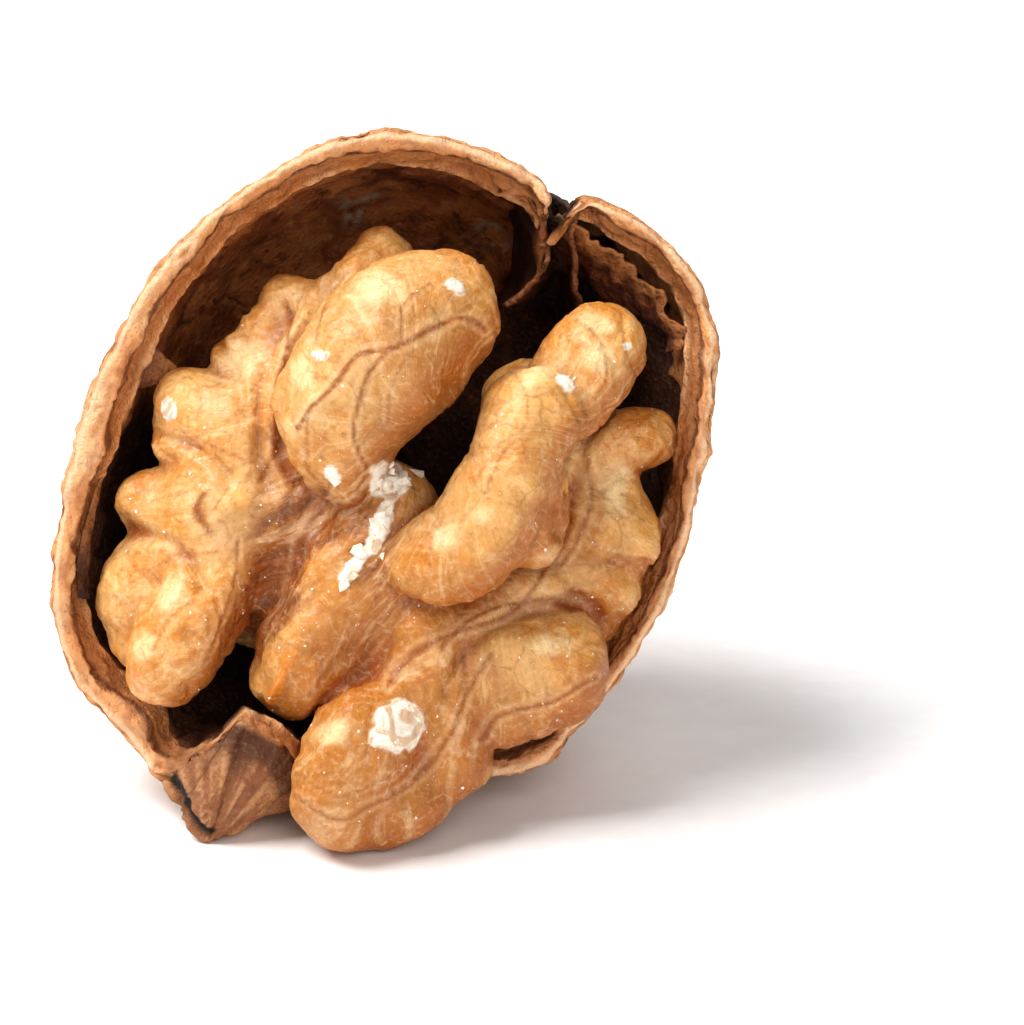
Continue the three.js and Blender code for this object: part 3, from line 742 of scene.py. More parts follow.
# Places where the skin has flaked off or the pale flesh shows through: kind, [a, b], half sizes, turn.
# The pale spots at [-8.5, 5.9], [12.4, 5.6], [3.6, -4.9] and [13.6, -2.0] are painted light on lit parts.
SPOT_SOFTNESS = {"flake": 0.16, "pale": 0.9}  # share of the spot over which it fades out
BARE_SPOTS = [
    ("flake", [0.9, -15.9], [1.45, 1.75], -20),
    ("flake", [0.5, -1.7], [1.2, 1.2], 20),
    ("flake", [-0.1, -4.2], [0.55, 1.9], -20),
    ("flake", [-1.5, -6.4], [0.45, 1.5], -38),
    ("flake", [-2.9, -1.5], [0.5, 0.6], 0),
    ("flake", [-12.6, 2.7], [0.5, 0.75], 10),
    ("flake", [-3.3, 5.6], [0.7, 0.3], -15),
    ("flake", [10.5, 4.1], [0.6, 0.4], -30),
    ("flake", [14.1, 6.3], [0.35, 0.25], 0),
    ("flake", [4.3, 9.5], [0.7, 0.35], -35),
    ("pale", [-12.6, -8.0], [1.0, 1.5], -10),
    ("pale", [-13.9, -11.4], [0.8, 1.2], 0),
    ("pale", [-4.6, 4.6], [1.0, 1.6], 0),
    ("pale", [0.0, 9.4], [2.6, 1.3], -10),
    ("pale", [8.8, 4.6], [1.6, 0.9], 0),
    ("pale", [5.8, -3.6], [1.1, 0.9], 0),
    ("pale", [12.4, 7.6], [1.6, 0.8], -20),
    ("pale", [-2.7, -16.2], [1.7, 1.0], 15),
    ("pale", [13.6, -2.0], [1.2, 2.4], 0),
    ("pale", [-8.5, 5.9], [1.6, 1.6], 0),
    ("pale", [12.4, 5.6], [1.6, 1.3], -30),
    ("pale", [3.6, -4.9], [1.3, 1.3], 0),
    ("pale", [9.8, -11.2], [1.8, 0.9], 0),
]


def spot_share(points, middle, half_sizes, turn, softness):
    """1 inside an oval in the plane of the open face, fading to 0 at its ragged edge."""
    t = math.radians(turn)
    away = laid_flat(points) - middle
    u = (away[:, 0] * math.cos(t) + away[:, 1] * math.sin(t)) / half_sizes[0]
    v = (away[:, 1] * math.cos(t) - away[:, 0] * math.sin(t)) / half_sizes[1]
    ragged = 0.17 * cloud(points, 0.9, 41) + 0.15 * cloud(points, 0.45, 42)
    return 1 - smooth_step(1 - softness, 1 + 0.2 * softness, np.hypot(u, v) + ragged)


def blurred(field, width):
    """The field averaged over a cube of 2 width + 1 grid steps, by running sums."""
    for axis in range(3):
        ends = [(0, 0)] * 3
        ends[axis] = (width + 1, width)
        running = np.cumsum(np.pad(field, ends, mode="edge"), axis=axis)
        length = field.shape[axis]
        later = np.take(running, np.arange(2 * width + 1, 2 * width + 1 + length), axis=axis)
        sooner = np.take(running, np.arange(length), axis=axis)
        field = (later - sooner) / (2 * width + 1)
    return field


def visible_points(points, front):
    """For each square of the open face's plane, the foremost kernel point in it, or -1."""
    cells = np.floor((laid_flat(points) - FIELD_LOW[:2]) / SQUARE).astype(int)
    table = np.full((SQUARES, SQUARES), -1)
    order = np.argsort(points[:, 2])
    order = order[front[order] > 0.1]
    table[tuple(cells[order].T)] = order
    return table


def points_under(table, places):
    """The foremost kernel point under each [a, b] place, leaving out places that miss the kernel."""
    cells = np.floor((np.asarray(places) - FIELD_LOW[:2]) / SQUARE).astype(int).clip(0, SQUARES - 1)
    found = table[tuple(cells.T)]
    return found[found >= 0]


def build_kernel(material):
    """The kernel's skin: the surface of the lobes' field, pushed along its normals by
    lumps + creases - folds + veins - fibres + crest + flakes, each a noise or a hump of the distance
    to a line.  near and far are how far the field's mean about a point, over a small and a large cube,
    lies above the field there: far above on a bulge, little or not at all in a hollow."""
    field = kernel_field()
    points, faces, cells = skin_of(field)
    normals = normals_of(points, faces)
    at = tuple(cells.T)
    near = blurred(field, 5)[at] - field[at]
    far = blurred(field, 10)[at] - field[at]
    # hollow and deep carry painted shade into creases and hollows, and a painted highlight onto bulges
    hollow = np.clip(0.5 - near * 1.5, 0, 1)
    deep = np.clip(0.45 - far * 0.55, 0, 1)
    front = smooth_step(-0.1, 0.3, normals[:, 2])
    a, b, c = points.T

    flat = laid_flat(points) + 0.3 * cloud_pair(points, 2.6, (5, 6))
    vein = np.zeros(len(points))
    border = np.zeros(len(points))
    for half_width, strength, route in VEINS:
        away = away_from_line(flat, route)
        width = half_width * (1 + 0.35 * cloud(points, 1.5, 7))
        vein = np.maximum(vein, strength * hump(away, 0, width))
        border = np.maximum(border, strength * hump(away, width * 2.6, width * 1.3))
    vein = vein * front
    border = border * front * (1 - vein)

    # the skin's streaks run outward from the gap between the arms: along a ray this place hardly moves
    off = laid_flat(points) - RAYS_FROM + 2.0 * cloud_pair(points, 5.0, (18, 19))
    far_off = np.hypot(*off.T)
    ray = off / far_off[:, None].clip(0.5) * 9.0

    fold = np.zeros(len(points))
    for half_width, depth, route in FOLDS:
        fold = np.maximum(fold, depth * hump(away_from_line(flat, route), 0, half_width))
    fold = fold * front * smooth_step(6.5, 5.0, c)

    spots = {"flake": np.zeros(len(points)), "pale": np.zeros(len(points))}
    for kind, middle, half_sizes, turn in BARE_SPOTS:
        share = spot_share(points, middle, half_sizes, turn, SPOT_SOFTNESS[kind])
        share = share * smooth_step(0.0, 0.25, normals[:, 2])
        spots[kind] = np.maximum(spots[kind], share)

    # the ribbed saddle: fibres that run down and to the left from between the arms
    down_left = np.array([-0.5, -0.866])
    along = a * down_left[0] + b * down_left[1]
    across = a * down_left[1] - b * down_left[0]
    saddle = np.exp(-(((across - 0.2) / 5.2) ** 2) - ((along - 6.8) / 6.5) ** 2) * front
    saddle = saddle * smooth_step(0.15, 0.45, deep + 0.3 * cloud(points, 3.0, 13))
    stretched = np.stack([across, along * 0.14, c * 0.3], axis=1)
    fibre = smooth_step(0.25, 0.95, wrinkle(stretched, 0.6, 11)) * saddle
    crest = hump(away_from_line(flat, [[-2.2, -6.6], [-4.6, -10.6], [-6.5, -14.2]]), 0, 0.3)
    crest = crest * front * smooth_step(-0.6, 0.2, cloud(stretched, 1.2, 14))
    long_way = np.stack([a * 0.8 + b * 0.3, (b - a) * 0.35, c], axis=1)

    swell = 0.36 * cloud(points, 3.6, 1) + 0.25 * cloud(points, 1.9, 2) + 0.10 * cloud(points, 0.9, 3)
    creases = -0.15 * smooth_step(0.78, 1.0, wrinkle(long_way, 3.0, 21))
    creases = creases - 0.05 * smooth_step(0.7, 1.0, wrinkle(points, 1.3, 22))
    push = swell + creases - fold + 0.04 * vein - 0.14 * fibre + 0.26 * saddle * cloud(stretched, 1.6, 12)
    push = push + 0.035 * cloud(points, 0.45, 16) - 0.05 * smooth_step(0.6, 1.0, wrinkle(points, 0.8, 17))
    # painted shade: the folds are painted darker as well, by raising hollow
    hollow = np.clip(hollow + 0.55 * fold, 0, 1)
    push = push + 0.34 * crest + spots["flake"] * (0.04 + 0.08 * cloud(points, 0.45, 31))
    points = points + normals * push[:, None]
    points = kept_above(points, 0.04)

    # browner towards the bottom, less so on the far left; the TONES rounds add browner and lighter places,
    # two of them painted shade
    tone_and_shade = smooth_step(1.0, -15.0, b + 2.0 * cloud(points, 5.0, 15)) * smooth_step(-11.0, -4.0, a)
    for middle, radius, share in TONES:
        tone_and_shade = tone_and_shade + share * hump(np.hypot(*(flat - middle).T), 0, radius)
    tone_and_shade = np.clip(tone_and_shade, 0, 1)
    # painted shade: sides facing right and down, by their normals, away from the light at the upper left
    under = smooth_step(0.1, 0.9, 0.75 * normals[:, 0] - 0.65 * normals[:, 1]) * (1 - spots["flake"])
    values = {
        "ray_a": ray[:, 0] * MM, "ray_b": ray[:, 1] * MM, "ray_out": (far_off * 0.16 + 0.3 * c) * MM,
        "tone_and_shade": tone_and_shade, "under": under, "hollow": hollow, "deep": deep, "vein": vein,
        "vein_border": border, "flake": spots["flake"], "pale": spots["pale"] * (1 - spots["flake"]),
        "brown": saddle, "fibre": fibre, "crest": crest,
    }
    piece = make_piece("kernel_flesh", points, faces, material, values)
    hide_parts("kernel")
    return points, normals, visible_points(points, front)


# ---- crumbs and flakes of flesh ----------------------------------------------------------------------


def rough_bit():
    """A twenty-sided ball: corners at (0, 1, g), (1, g, 0), (g, 0, 1) with every sign, g the golden
    ratio, and a face wherever three corners are 2 apart."""
    g = (1 + math.sqrt(5)) / 2
    signs = np.array([[1, 1], [1, -1], [-1, 1], [-1, -1]])
    base = np.stack([np.zeros(4), signs[:, 0], signs[:, 1] * g], axis=1)
    corners = np.concatenate([np.roll(base, k, axis=1) for k in range(3)])
    i, j, k = np.array(list(combinations(range(12), 3))).T
    gaps = [np.linalg.norm(corners[m] - corners[n], axis=1) for m, n in ((i, j), (j, k), (i, k))]
    keep = np.all(np.abs(np.stack(gaps) - 2) < 0.01, axis=0)
    faces = np.stack([i, j, k], axis=1)[keep]
    p = corners[faces]
    inward = np.einsum("ij,ij->i", np.cross(p[:, 1] - p[:, 0], p[:, 2] - p[:, 0]), p.mean(axis=1)) < 0
    faces[inward] = faces[inward][:, ::-1]
    return corners / np.linalg.norm(corners[0]), faces


def scatter_bits(name, places, normals, low, high, flat, seed, material):
    """One mesh of many jagged bits: each is the rough bit with its corners moved at random, scaled
    between low and high mm, pressed flat along the skin's normal and turned about it."""
    random = np.random.RandomState(seed)
    corners, faces = rough_bit()
    n = len(places)
    jag = corners[None] * (0.65 + 0.7 * random.rand(n, len(corners), 1))
    side = np.cross(normals, random.normal(size=(n, 3)))
    side /= np.linalg.norm(side, axis=1, keepdims=True)
    other = np.cross(normals, side)
    size = (low + (high - low) * random.rand(n, 1) ** 2.2) * [1, 1, flat]
    size = size * (0.6 + 0.8 * random.rand(n, 3))
    ways = enumerate((side, other, normals))
    bits = sum(jag[:, :, k:k + 1] * (way * size[:, k:k + 1])[:, None] for k, way in ways)
    points = (places + normals * size[:, 2:3] * 0.35)[:, None] + bits
    index = (faces[None] + (np.arange(n) * len(corners))[:, None, None]).reshape(-1, 3)
    piece = make_piece(name, points.reshape(-1, 3), index[:, ::-1], material)
    piece.data.polygons.foreach_set("use_smooth", np.zeros(len(piece.data.polygons), bool))


def build_crumbs(points, normals, table, material):
    """Dust of crushed flesh over the front of the kernel, and thick flakes where the skin broke."""
    random = np.random.RandomState(77)
    tries = 900
    anywhere = np.stack([random.uniform(-16, 16, tries), random.uniform(-22, 12, tries)], axis=1)
    keep = random.rand(tries) < 0.2 + 0.35 * hump(anywhere[:, 1], -12, 8)
    dust = points_under(table, anywhere[keep])
    scatter_bits("crumb_dust", points[dust], normals[dust], 0.03, 0.09, 0.8, 5, material)

    # middle [a, b], spread, number of flakes, and whether they lie along a slanting line
    clusters = [
        ([0.5, -1.6], [0.65, 0.65], 26, False), ([0.1, -3.9], [0.28, 1.1], 14, False),
        ([-1.4, -6.3], [0.85, 1.15], 11, True), ([-2.9, -1.5], [0.3, 0.3], 5, False),
        ([2.4, -1.0], [0.4, 0.3], 4, False), ([1.4, -1.3], [0.5, 0.3], 5, False),
    ]
    sites = []
    for middle, spread, count, slanting in clusters:
        off = random.normal(size=(count, 2)) * 0.6
        if slanting:
            off[:, 1] = off[:, 0] * 1.1 + 0.15 * random.normal(size=count)
        sites.append(np.array(middle) + off * spread)
    flakes = points_under(table, np.concatenate(sites))
    scatter_bits("flesh_flakes", points[flakes], normals[flakes], 0.12, 0.48, 0.55, 6, material)


# ---- the half shell ----------------------------------------------------------------------------------

OUTER_ROWS = 58
BEAK_ROWS = 18
LIP_ROWS = 20
INNER_ROWS = 46
SHELL_COLUMNS = 680


def shell_columns():
    """Directions round the rim in degrees, closer together at the beak and at the stem scar."""
    fine = np.linspace(0, 360, 7201)
    crowd = 1 + 1.4 * hump(turn_between(fine, BEAK_ANGLE - 3), 0, 14)
    crowd = crowd + 1.2 * hump(turn_between(fine, STEM_ANGLE), 0, 6)
    running = np.concatenate([[0], np.cumsum(crowd[:-1])])
    return np.interp(np.arange(SHELL_COLUMNS) / SHELL_COLUMNS * running[-1], running, fine)


def steps_down(count, crowd):
    """Values of down from 0 to 1 for rows that lie about evenly along the cup's profile, and crowd
    times closer together at the rim than at the bottom."""
    fine = np.linspace(0, 1, 4001)
    profile = cup_wall(0.0, RIM_RADIUS, fine, 1.0)
    travel = np.concatenate([[0], np.cumsum(np.linalg.norm(np.diff(profile, axis=0), axis=1))])
    density = 1 + (crowd - 1) * np.exp(-travel / 4.5)
    running = np.concatenate([[0], np.cumsum(density[1:] * np.diff(travel))])
    return np.interp(np.linspace(0, running[-1], count), running, fine)


def build_shell(material):
    """One closed net: from the outside bottom up to the suture, over the beak where the other half's
    tip stayed on, across the broken lip, and down the inside to the bottom.  Each part notes, in shares
    from 0 to 1, what its surface is; the whole is then pushed along its normals by wrinkles and noises."""
    degrees = shell_columns()[None]
    outside = radius_round(RIM_OUTSIDE, degrees)
    inside = radius_round(RIM_INSIDE, degrees)
    turn = np.radians(degrees)
    ring = np.stack([np.cos(turn), np.sin(turn), 0 * turn], axis=-1)
    on_rim = ring * RIM_RADIUS

    # how much of the beak there is in each direction, in degrees round, and where its torn edge lies
    beak = smooth_step(230.5, 236.0, degrees) * (1 - smooth_step(252.0, 258.0, degrees))
    climb = smooth_step(SEAM_RISE_FROM, 243, degrees) * (1 - smooth_step(247, 260, degrees))
    roll = 0.25 * np.sin(3 * turn + 0.6) + 0.15 * np.sin(8 * turn)
    nicks = 0.24 * cloud(on_rim, 2.4, 51) + 0.13 * cloud(on_rim, 0.9, 52)
    suture_level = roll + nicks + BEAK_RISE * climb
    suture_level = suture_level - 1.5 * hump(turn_between(degrees, STEM_ANGLE), 0, 1.5)
    lip_width = np.minimum(0.4 + 1.4 * (1 - beak), outside - inside)
    torn_radius = outside - 0.12 + (inside + lip_width - outside + 0.12) * beak
    torn_level = suture_level + BEAK_SLOPE * beak * smooth_step(0.5, 5.0, outside - inside)
    torn_level = torn_level + beak * (0.45 * cloud(ring * 17, 0.5, 53) + 0.45 * cloud(ring * 17, 1.5, 50))

    slot = hump(turn_between(degrees, STEM_ANGLE), 0, 1.2)

    pieces = []
    labels = {label: [] for label in ("lip", "inside", "seam", "edge", "beak", "band", "crack", "fibrous")}

    def note(rows, **shares):
        """Stores what the points of these rows are, in shares from 0 to 1; nought where not given."""
        for label, store in labels.items():
            store.append(np.broadcast_to(shares.get(label, 0.0), rows.shape[:2]))

    # outside wall, bottom to suture
    down = steps_down(OUTER_ROWS, 2.2)[::-1, None]
    wall = cup_wall(degrees + 0 * down, outside + 0 * down, down + 0 * degrees, 0.0)
    wall[..., 2] += suture_level * (1 - down) ** 6
    pieces.append(wall)
    note(wall, lip=(1 - smooth_step(0.0, 0.012, down + 0.02 * cloud(wall, 1.5, 54))) * (1 - beak),
         seam=slot * (1 - smooth_step(0.02, 0.12, down)))

    # the beak's face, suture to torn edge; elsewhere only the rim's rounded outer corner
    t = np.linspace(0, 1, BEAK_ROWS + 1)[1:, None]
    radius = outside + (torn_radius - outside) * t
    towards_tip = smooth_step(232.5, 243, degrees)
    of_other_half = smooth_step(-0.55, -0.75, (radius - outside) / (1.4 - 0.9 * towards_tip))
    of_other_half = np.maximum(of_other_half, smooth_step(243, 245, degrees))
    level = suture_level + (torn_level - suture_level) * t + 0.6 * np.sin(math.pi * t) * beak
    level = level + 0.12 * t * (1 - beak)
    face = CENTRE_3 + ring * radius[..., None]
    face[..., 2] = level
    pieces.append(face)
    in_seam = hump(radius - outside, 0.35 * towards_tip - 1.15, 0.36 - 0.14 * towards_tip)
    in_seam = in_seam * smooth_step(231.5, 233.5, degrees) * (1 - smooth_step(243.5, 245.0, degrees))
    note(face, beak=smooth_step(0.15, 0.7, beak) * (1 - smooth_step(0.96, 1.0, t)) * of_other_half,
         seam=np.clip(in_seam * 2.2 + slot, 0, 1), lip=1 - smooth_step(0.15, 0.7, beak))

    # the broken lip, outside to inside: a light rounded outer part, a break, and a lower fibrous part
    t = np.linspace(0, 1, LIP_ROWS + 1)[1:, None]
    place = 0.50 + 0.13 * cloud(on_rim, 3.2, 55) + 0.06 * cloud(on_rim, 0.8, 56)
    place = place + 0.30 * hump(turn_between(degrees, 190), 0, 38)
    below = smooth_step(place, place + 0.1, t)
    drop = (0.35 + 0.3 * cloud(on_rim, 4.0, 60)) * below
    drop = drop + 0.9 * np.clip((t - place) / (1 - place), 0, 1) ** 1.4
    crown = 0.24 * np.sin(math.pi * np.clip(t / place, 0, 1)) ** 0.7
    crown = crown - (drop + 0.2 * hump(t, place + 0.06, 0.05)) * (1 - beak)
    face = CENTRE_3 + ring * (torn_radius + (inside - torn_radius) * t)[..., None]
    face[..., 2] = torn_level + 0.12 * (1 - beak) + crown * (1 - 0.5 * beak) - 0.3 * beak * t**3
    pieces.append(face)
    end_level = face[-1:, :, 2]
    note(face, lip=1.0, seam=slot + 0 * t, edge=hump(t, 0.1, 0.16) * (1 - beak),
         crack=hump(t, place + 0.06, 0.06) * (1 - beak), fibrous=np.maximum(below * (1 - beak), beak))

    # inside wall, lip to bottom, with a ragged band of lighter lining left just below the rim
    down = steps_down(INNER_ROWS + 1, 4.5)[1:, None]
    inset = 1.8 + (outside - inside - 1.8) * (1 - smooth_step(0.0, 0.22, down))
    edge_of_band = 0.075 + 0.055 * cloud(on_rim, 4.0, 57) + 0.04 * cloud(on_rim, 1.3, 58)
    edge_of_band = edge_of_band + 0.028 * cloud(on_rim, 0.5, 59)
    band = 1 - smooth_step(edge_of_band, edge_of_band + 0.012, down)
    wall = cup_wall(degrees + 0 * down, outside + 0 * down, down + 0 * degrees, inset + 0.42 * band)
    wall[..., 2] += end_level * (1 - smooth_step(0.0, 0.16, down))
    pieces.append(wall)
    note(wall, seam=slot * (1 - smooth_step(0.1, 0.35, down)), band=band,
         inside=smooth_step(0.0, 0.035, down + 0.02 * cloud(wall, 1.2, 61)),
         lip=1 - smooth_step(0.0, 0.03, down + 0 * degrees))

    net = np.concatenate(pieces)
    rows, columns = net.shape[:2]
    shares = {label: np.concatenate(store).ravel() for label, store in labels.items()}
    points = net.reshape(-1, 3)
    faces = grid_faces(rows, columns, joined=True)
    normals = normals_of(points, faces)

    # the nut's long axis runs from the beak to the stem; wrinkles run mostly along it
    a, b, c = points.T
    along = a * 0.46 + b * 0.89
    across = b * 0.46 - a * 0.89
    stretched = np.stack([along * 0.42, across, c], axis=1)
    warp = 1.3 * np.stack([cloud(points, 5.0, seed) for seed in (71, 72, 73)], axis=1)
    deep = smooth_step(0.66, 1.0, wrinkle(stretched + warp, 4.2, 74))
    fine = smooth_step(0.6, 1.0, wrinkle(stretched + 0.6 * warp, 1.9, 75))
    on_lip, is_inside, on_beak = shares["lip"], shares["inside"], shares["beak"]
    is_outside = (1 - on_lip) * (1 - is_inside) * (1 - on_beak)
    direction = np.arctan2(b - CENTRE[1], a - CENTRE[0])
    round_rim = np.stack([direction * RIM_RADIUS * 0.45, np.hypot(a, b - CENTRE[1]), c], axis=1)
    swell = -0.45 * deep - 0.2 * fine + 0.32 * cloud(points, 4.0, 76) + 0.06 * cloud(points, 0.7, 77)
    push = is_outside * swell
    cracks = smooth_step(0.82, 1.0, wrinkle(round_rim, 1.5, 89) + 0.15 * cloud(points, 0.5, 90))
    swell = (0.20 * cloud(points, 1.7, 81) + 0.18 * cloud(round_rim, 0.7, 82)
             + 0.15 * cloud(round_rim, 0.35, 83) + 0.10 * cloud(points, 0.35, 80) - 0.08 * cracks)
    push = push + on_lip * swell
    vein_net = smooth_step(0.8, 1.0, wrinkle(points, 3.6, 84))
    swell = 0.22 * cloud(points, 2.2, 85) - 0.16 * vein_net + 0.09 * cloud(points, 0.8, 86)
    push = push + is_inside * swell
    from_tip = np.stack([a, b], axis=1) - BEAK_TIP
    tip_distance = np.hypot(*from_tip.T)
    toward_tip = np.degrees(np.arctan2(*from_tip.T))
    fan = np.stack([toward_tip * 0.35, tip_distance * 0.25, 0 * a], axis=1)
    streak = rough_cloud(fan, 1.6, 87)
    rib = hump(toward_tip, 17.0, 1.4)
    push = push + on_beak * (0.12 * streak - 0.22 * rib + 0.06 * cloud(points, 0.5, 88))
    push = push - 0.35 * shares["seam"]
    first_or_last = (np.arange(len(points)) < columns) | (np.arange(len(points)) >= len(points) - columns)
    points = points + normals * np.where(first_or_last, 0, push)[:, None]

    points = kept_above(points, 0.0)

    spots = [([6.3, 12.5], 1.0), ([7.2, 11.0], 0.7), ([-2.1, 13.8], 1.1), ([-1.0, 14.6], 0.6)]
    mould = sum(hump(np.hypot(a - place[0], b - place[1]), 0, width) for place, width in spots)
    mottled = cloud(points, 0.9, 91) + 0.6 * cloud(points, 0.35, 92)
    mould = is_inside * mould * smooth_step(-0.15, 0.5, mottled)
    groove = np.clip(is_outside * np.maximum(deep, 0.7 * fine) + is_inside * vein_net
                     + on_lip * (0.35 * cracks + 0.5 * hump(np.hypot(a + 9.5, b + 17.0), 0, 4.5))
                     + shares["crack"], 0, 1)
    # painted shade: the right and lower parts of the inside are painted near black, and the band of lining
    # fades downward
    inside_shade = np.maximum(smooth_step(-2.0, 8.0, a - 0.5 * b + 2.5 * cloud(points, 4.0, 94)),
                         smooth_step(6.0, -1.0, b + 2.0 * cloud(points, 2.5, 95)))
    band = shares["band"] * (1 - on_lip) * (0.2 + 0.8 * smooth_step(-3.0, 6.0, b))
    # painted shade on the beak's plate, growing with distance from the tip
    beak_top_shade = (tip_distance - 3.2) / 4.6 + 0.25 * cloud(points, 1.2, 93)
    values = {
        "lip": on_lip, "inside": is_inside, "seam": shares["seam"], "edge": np.clip(shares["edge"], 0, 1),
        "beak": on_beak, "groove": groove, "streak": np.clip(0.5 + streak * 0.7 - 0.5 * rib, 0, 1),
        "band": band, "fibrous": shares["fibrous"], "inside_shade": inside_shade,
        "beak_top_shade": np.clip(beak_top_shade, 0, 1), "mould": np.clip(mould, 0, 1),
    }

    # close the two bottoms: each end row is fanned to its middle
    last = len(points)
    points = np.vstack([points, points[:columns].mean(axis=0), points[-columns:].mean(axis=0)])
    values = {label: np.concatenate([v, v[[0, -1]]]) for label, v in values.items()}
    around = np.arange(columns)
    following = np.roll(around, -1)
    base = (rows - 1) * columns
    fans = np.concatenate([
        np.stack([around, following, following * 0 + last], axis=1)[:, ::-1],
        np.stack([base + around, base + following, following * 0 + last + 1], axis=1),
    ])
    corners = np.concatenate([faces[:, [0, 1, 2]], faces[:, [0, 2, 3]], fans])
    piece = make_piece("shell_half_wood", points, corners[:, ::-1], material, values)
    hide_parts("half_shell")


# ---- torn lining and septum --------------------------------------------------------------------------


def build_sheet(name, net, torn, dark, material, thickness=0.16):
    """A thin scrap from a grid of points, given its thickness by Solidify; torn runs from 0 to 1 at
    its free edge and dark to 1 where shade is painted on it."""
    rows, columns = net.shape[:2]
    shares = {"torn": torn, "dark": dark}
    shares = {label: np.broadcast_to(share, (rows, columns)).ravel() for label, share in shares.items()}
    piece = make_piece(name, net.reshape(-1, 3), grid_faces(rows, columns, joined=False), material, shares)
    solid = piece.modifiers.new("thickness", "SOLIDIFY")
    solid.thickness = thickness * MM
    solid.offset = 0
    return piece


def wall_line(line, down, inset):
    """Points on the inner wall behind the given [a, b, ...] points, at a depth down."""
    degrees = np.degrees(np.arctan2(line[:, 1] - CENTRE[1], line[:, 0] - CENTRE[0])) % 360
    return cup_wall(degrees, radius_round(RIM_OUTSIDE, degrees), down, inset)


def build_right_flap(material):
    """Lining peeled off the right wall: its torn edge stands free along the rim and it runs back
    down to the wall, less far towards its lower end, bulging towards the middle:
    edge + (wall - edge) t + bulge sin(pi t)."""
    edge = open_line([[11.2, 13.9, -0.6], [11.9, 13.1, -0.7], [12.7, 12.4, -0.9], [13.6, 11.9, -1.1],
                      [14.6, 11.2, -1.2], [15.4, 10.5, -1.3], [16.2, 9.7, -1.4], [16.9, 8.7, -1.6],
                      [17.3, 7.4, -1.9], [17.4, 6.0, -2.4]], 120)
    narrow = smooth_step(1.0, 0.45, np.linspace(0, 1, 120))[:, None]
    wall = edge + (wall_line(edge, 0.34, 2.6) - edge) * (0.08 + 0.92 * narrow)
    t = np.linspace(0, 1, 36)[:, None, None]
    net = edge + (wall - edge) * t
    middle = np.array([6.0, 4.0, -4.0])
    towards = (middle - net) / np.linalg.norm(middle - net, axis=-1, keepdims=True)
    net = net + towards * 0.55 * np.sin(math.pi * t)
    ragged = 0.55 * cloud(edge, 1.3, 101) + 0.5 * cloud(edge, 0.45, 102)
    outward = (edge - wall) / np.linalg.norm(edge - wall, axis=1, keepdims=True)
    net = net + outward * (ragged[:, None] * (1 - t) ** 2)
    net = net + towards * (0.35 * cloud(net, 1.4, 103) + 0.2 * cloud(net, 0.5, 104))[..., None]
    torn = 1 - smooth_step(0.0, 0.3, t[..., 0] + 0.12 * cloud(net, 0.6, 105))
    # painted shade: darker towards the wall, behind the free edge
    dark = smooth_step(0.25, 0.8, t[..., 0] + 0.12 * cloud(net, 1.2, 106))
    piece = build_sheet("lining_torn_right", net, torn, dark, material)
    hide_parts("lining_flap_right")


def build_left_scraps(material):
    """Two scraps on the left wall: a pointed leaf of lining folded inward, and a thin strip peeled
    from the rim, whose width tapers as 1 - s^2 and which curls inward as it goes."""
    s = np.linspace(0, 1, 40)[None, :, None]
    t = np.linspace(0, 1, 16)[:, None, None]
    upper = open_line([[-14.3, 6.6, -1.4], [-13.3, 6.0, -1.7], [-12.1, 4.7, -2.6]], 40)[None]
    lower = open_line([[-15.3, 3.6, -1.9], [-13.9, 3.9, -2.4], [-12.3, 4.4, -2.9]], 40)[None]
    leaf = upper + (lower - upper) * t
    leaf[..., 2] += 0.35 * np.sin(math.pi * t[..., 0]) + 0.3 * cloud(leaf, 1.2, 111)
    leaf[..., 0] += 0.15 * cloud(leaf, 0.5, 112)
    # painted shade: the leaf darker towards its end by the wall
    piece = build_sheet("lining_leaf_left", leaf, s[..., 0], 0.5 * (1 - s[..., 0]), material)
    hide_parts("lining_flap_left")

    spine = open_line([[-18.0, -8.6, -0.7], [-17.9, -6.2, -0.5], [-17.5, -3.8, -0.7],
                       [-16.7, -1.4, -1.3]], 40)[None]
    width = 0.36 * (1 - s**2) + 0.05
    across = np.array([0.75, -0.15, -0.65])
    strip = spine + across * width * (t * 2 - 1)
    strip[..., 2] += (0.25 * np.sin(math.pi * t) * width)[..., 0] + 0.2 * cloud(strip, 0.8, 113)
    strip[..., 0] += 0.18 * cloud(strip, 1.1, 114)
    # painted shade: the strip darker towards its lower end
    build_sheet("lining_strip_left", strip, 0.8 * s[..., 0], 0.6 * (1 - s[..., 0]), material, 0.12)


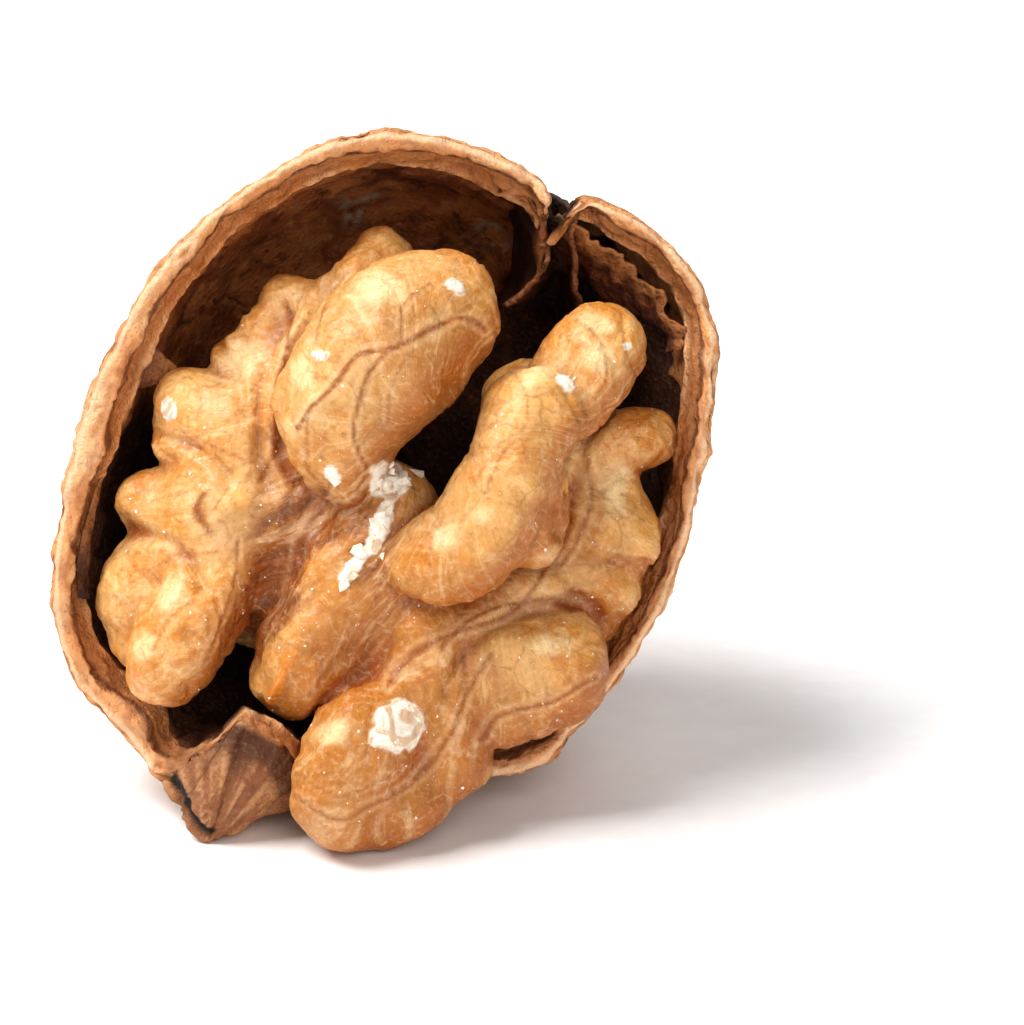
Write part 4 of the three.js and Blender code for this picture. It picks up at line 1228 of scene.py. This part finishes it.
def build_septum(material):
    """The woody partition below the stem scar: two torn ridges with a deep fold between them,
    left + (right - left) t pushed back by depth sin(pi t)^0.7."""
    left = open_line([[8.3, 16.0, -1.0], [9.2, 13.9, -1.1], [9.4, 12.3, -1.7], [9.2, 10.6, -2.6],
                      [8.3, 9.4, -3.6], [7.2, 8.5, -4.6]], 70)
    right = open_line([[11.3, 14.3, -1.0], [11.1, 12.8, -1.5], [11.2, 11.3, -2.3], [11.4, 9.8, -3.3],
                       [11.6, 8.4, -4.6], [11.4, 7.2, -6.0]], 70)
    t = np.linspace(0, 1, 50)[:, None]
    net = left + (right - left) * t[..., None]
    net[..., 2] -= 4.6 * np.sin(math.pi * t).clip(0) ** 0.7
    ridge = hump(t, 0, 0.08) + hump(t, 1, 0.08)
    torn_ridge = ridge * (0.5 * cloud(net, 1.1, 121) + 0.25 * cloud(net, 0.45, 122))
    net[..., 2] += torn_ridge + 0.2 * cloud(net, 0.8, 123)
    net[..., 0] += 0.25 * cloud(net, 1.4, 124) + 0.12 * cloud(net, 0.5, 125)
    # painted shade: darker down in the fold between the ridges
    dark = np.clip(np.sin(math.pi * t), 0, 1) ** 0.6 + 0 * net[..., 0]
    piece = build_sheet("septum_fold", net, 0.45 * ridge, dark, material, 0.3)
    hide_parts("septum_strip")

    deeper = np.linspace(0, 1, 24)[:, None, None]
    back = left + np.array([-1.6, -1.0, -7.0])
    curtain = left + (back - left) * deeper
    curtain[..., 0] += 0.3 * cloud(curtain, 1.5, 126)
    start = 1 - smooth_step(0, 0.2, deeper[..., 0])
    # painted shade: darker deeper in
    build_sheet("septum_left_face", curtain, 0.4 * start, 0.7 * (1 - start), material, 0.25)


# ---- stage -------------------------------------------------------------------------------------------

CAMERA_ANGLE = math.radians(22)  # how far above level the camera looks down from
AIM = np.array([7.5, -3.4, 0.0])  # the middle of the view, in the nut frame
FRAME_WIDTH = 60.4  # width of the view at the nut, mm
LENS = 150.0
SENSOR = 36.0
FLOOR_HALF = 1.5  # half the floor's side, in metres


def light(name, place, aim, size, power, colour):
    """A soft square lamp at place, turned so that it shines at aim.  Both in metres."""
    data = bpy.data.lights.new(name, "AREA")
    data.size = size
    data.energy = power
    data.color = colour
    lamp = bpy.data.objects.new(name, data)
    away = np.array(place) - np.array(aim)
    flat = math.hypot(away[0], away[1])
    lamp.location = place
    lamp.rotation_euler = (math.atan2(flat, away[2]), 0, math.atan2(away[0], -away[1]))
    bpy.context.scene.collection.objects.link(lamp)


def build_stage():
    """The camera, the paper floor, three soft lamps, a dim even sky and the contrast."""
    middle = stand_up(AIM)
    distance = LENS / SENSOR * FRAME_WIDTH * MM
    data = bpy.data.cameras.new("camera")
    data.lens = LENS
    data.sensor_width = SENSOR
    data.clip_start = 0.01
    camera = bpy.data.objects.new("camera", data)
    camera.location = middle + distance * np.array([0, -math.cos(CAMERA_ANGLE), math.sin(CAMERA_ANGLE)])
    camera.rotation_euler = (math.pi / 2 - CAMERA_ANGLE, 0, 0)
    bpy.context.scene.collection.objects.link(camera)
    bpy.context.scene.camera = camera

    mesh = bpy.data.meshes.new("floor")
    corners = [(x * FLOOR_HALF, y * FLOOR_HALF, 0) for x, y in ((-1, -1), (1, -1), (1, 1), (-1, 1))]
    mesh.from_pydata(corners, [], [(0, 1, 2, 3)])
    floor = bpy.data.objects.new("floor", mesh)
    bpy.context.scene.collection.objects.link(floor)
    mesh.materials.append(finished("white_paper_floor", white_paper))

    light("key_lamp", (-0.24, -0.04, 0.42), (0, 0, 0.015), 0.28, 2.55, (1.0, 0.985, 0.965))
    light("fill_lamp", (0.14, -0.42, 0.27), (0, 0, 0.015), 0.40, 0.98, (1.0, 0.99, 0.97))
    light("back_lamp", (0.05, 0.40, 0.35), (0, 0, 0.02), 0.40, 0.6, (1.0, 1.0, 1.0))

    world = bpy.data.worlds.new("studio")
    world.use_nodes = True
    background = world.node_tree.nodes["Background"]
    background.inputs["Color"].default_value = (1, 1, 1, 1)
    background.inputs["Strength"].default_value = 0.19
    bpy.context.scene.world = world
    bpy.context.scene.view_settings.view_transform = "Standard"
    bpy.context.scene.view_settings.look = "Medium High Contrast"


build_stage()
skin = finished("walnut_kernel_skin_dried", kernel_skin)
wood = finished("walnut_shell_dried_wood", shell_wood)
lining = finished("walnut_lining_dried_membrane", papery_lining)
flesh = finished("walnut_crumb_flesh", crumb_flesh)
kernel = build_kernel(skin)
build_crumbs(*kernel, flesh)
build_shell(wood)
build_right_flap(lining)
build_left_scraps(lining)
build_septum(lining)
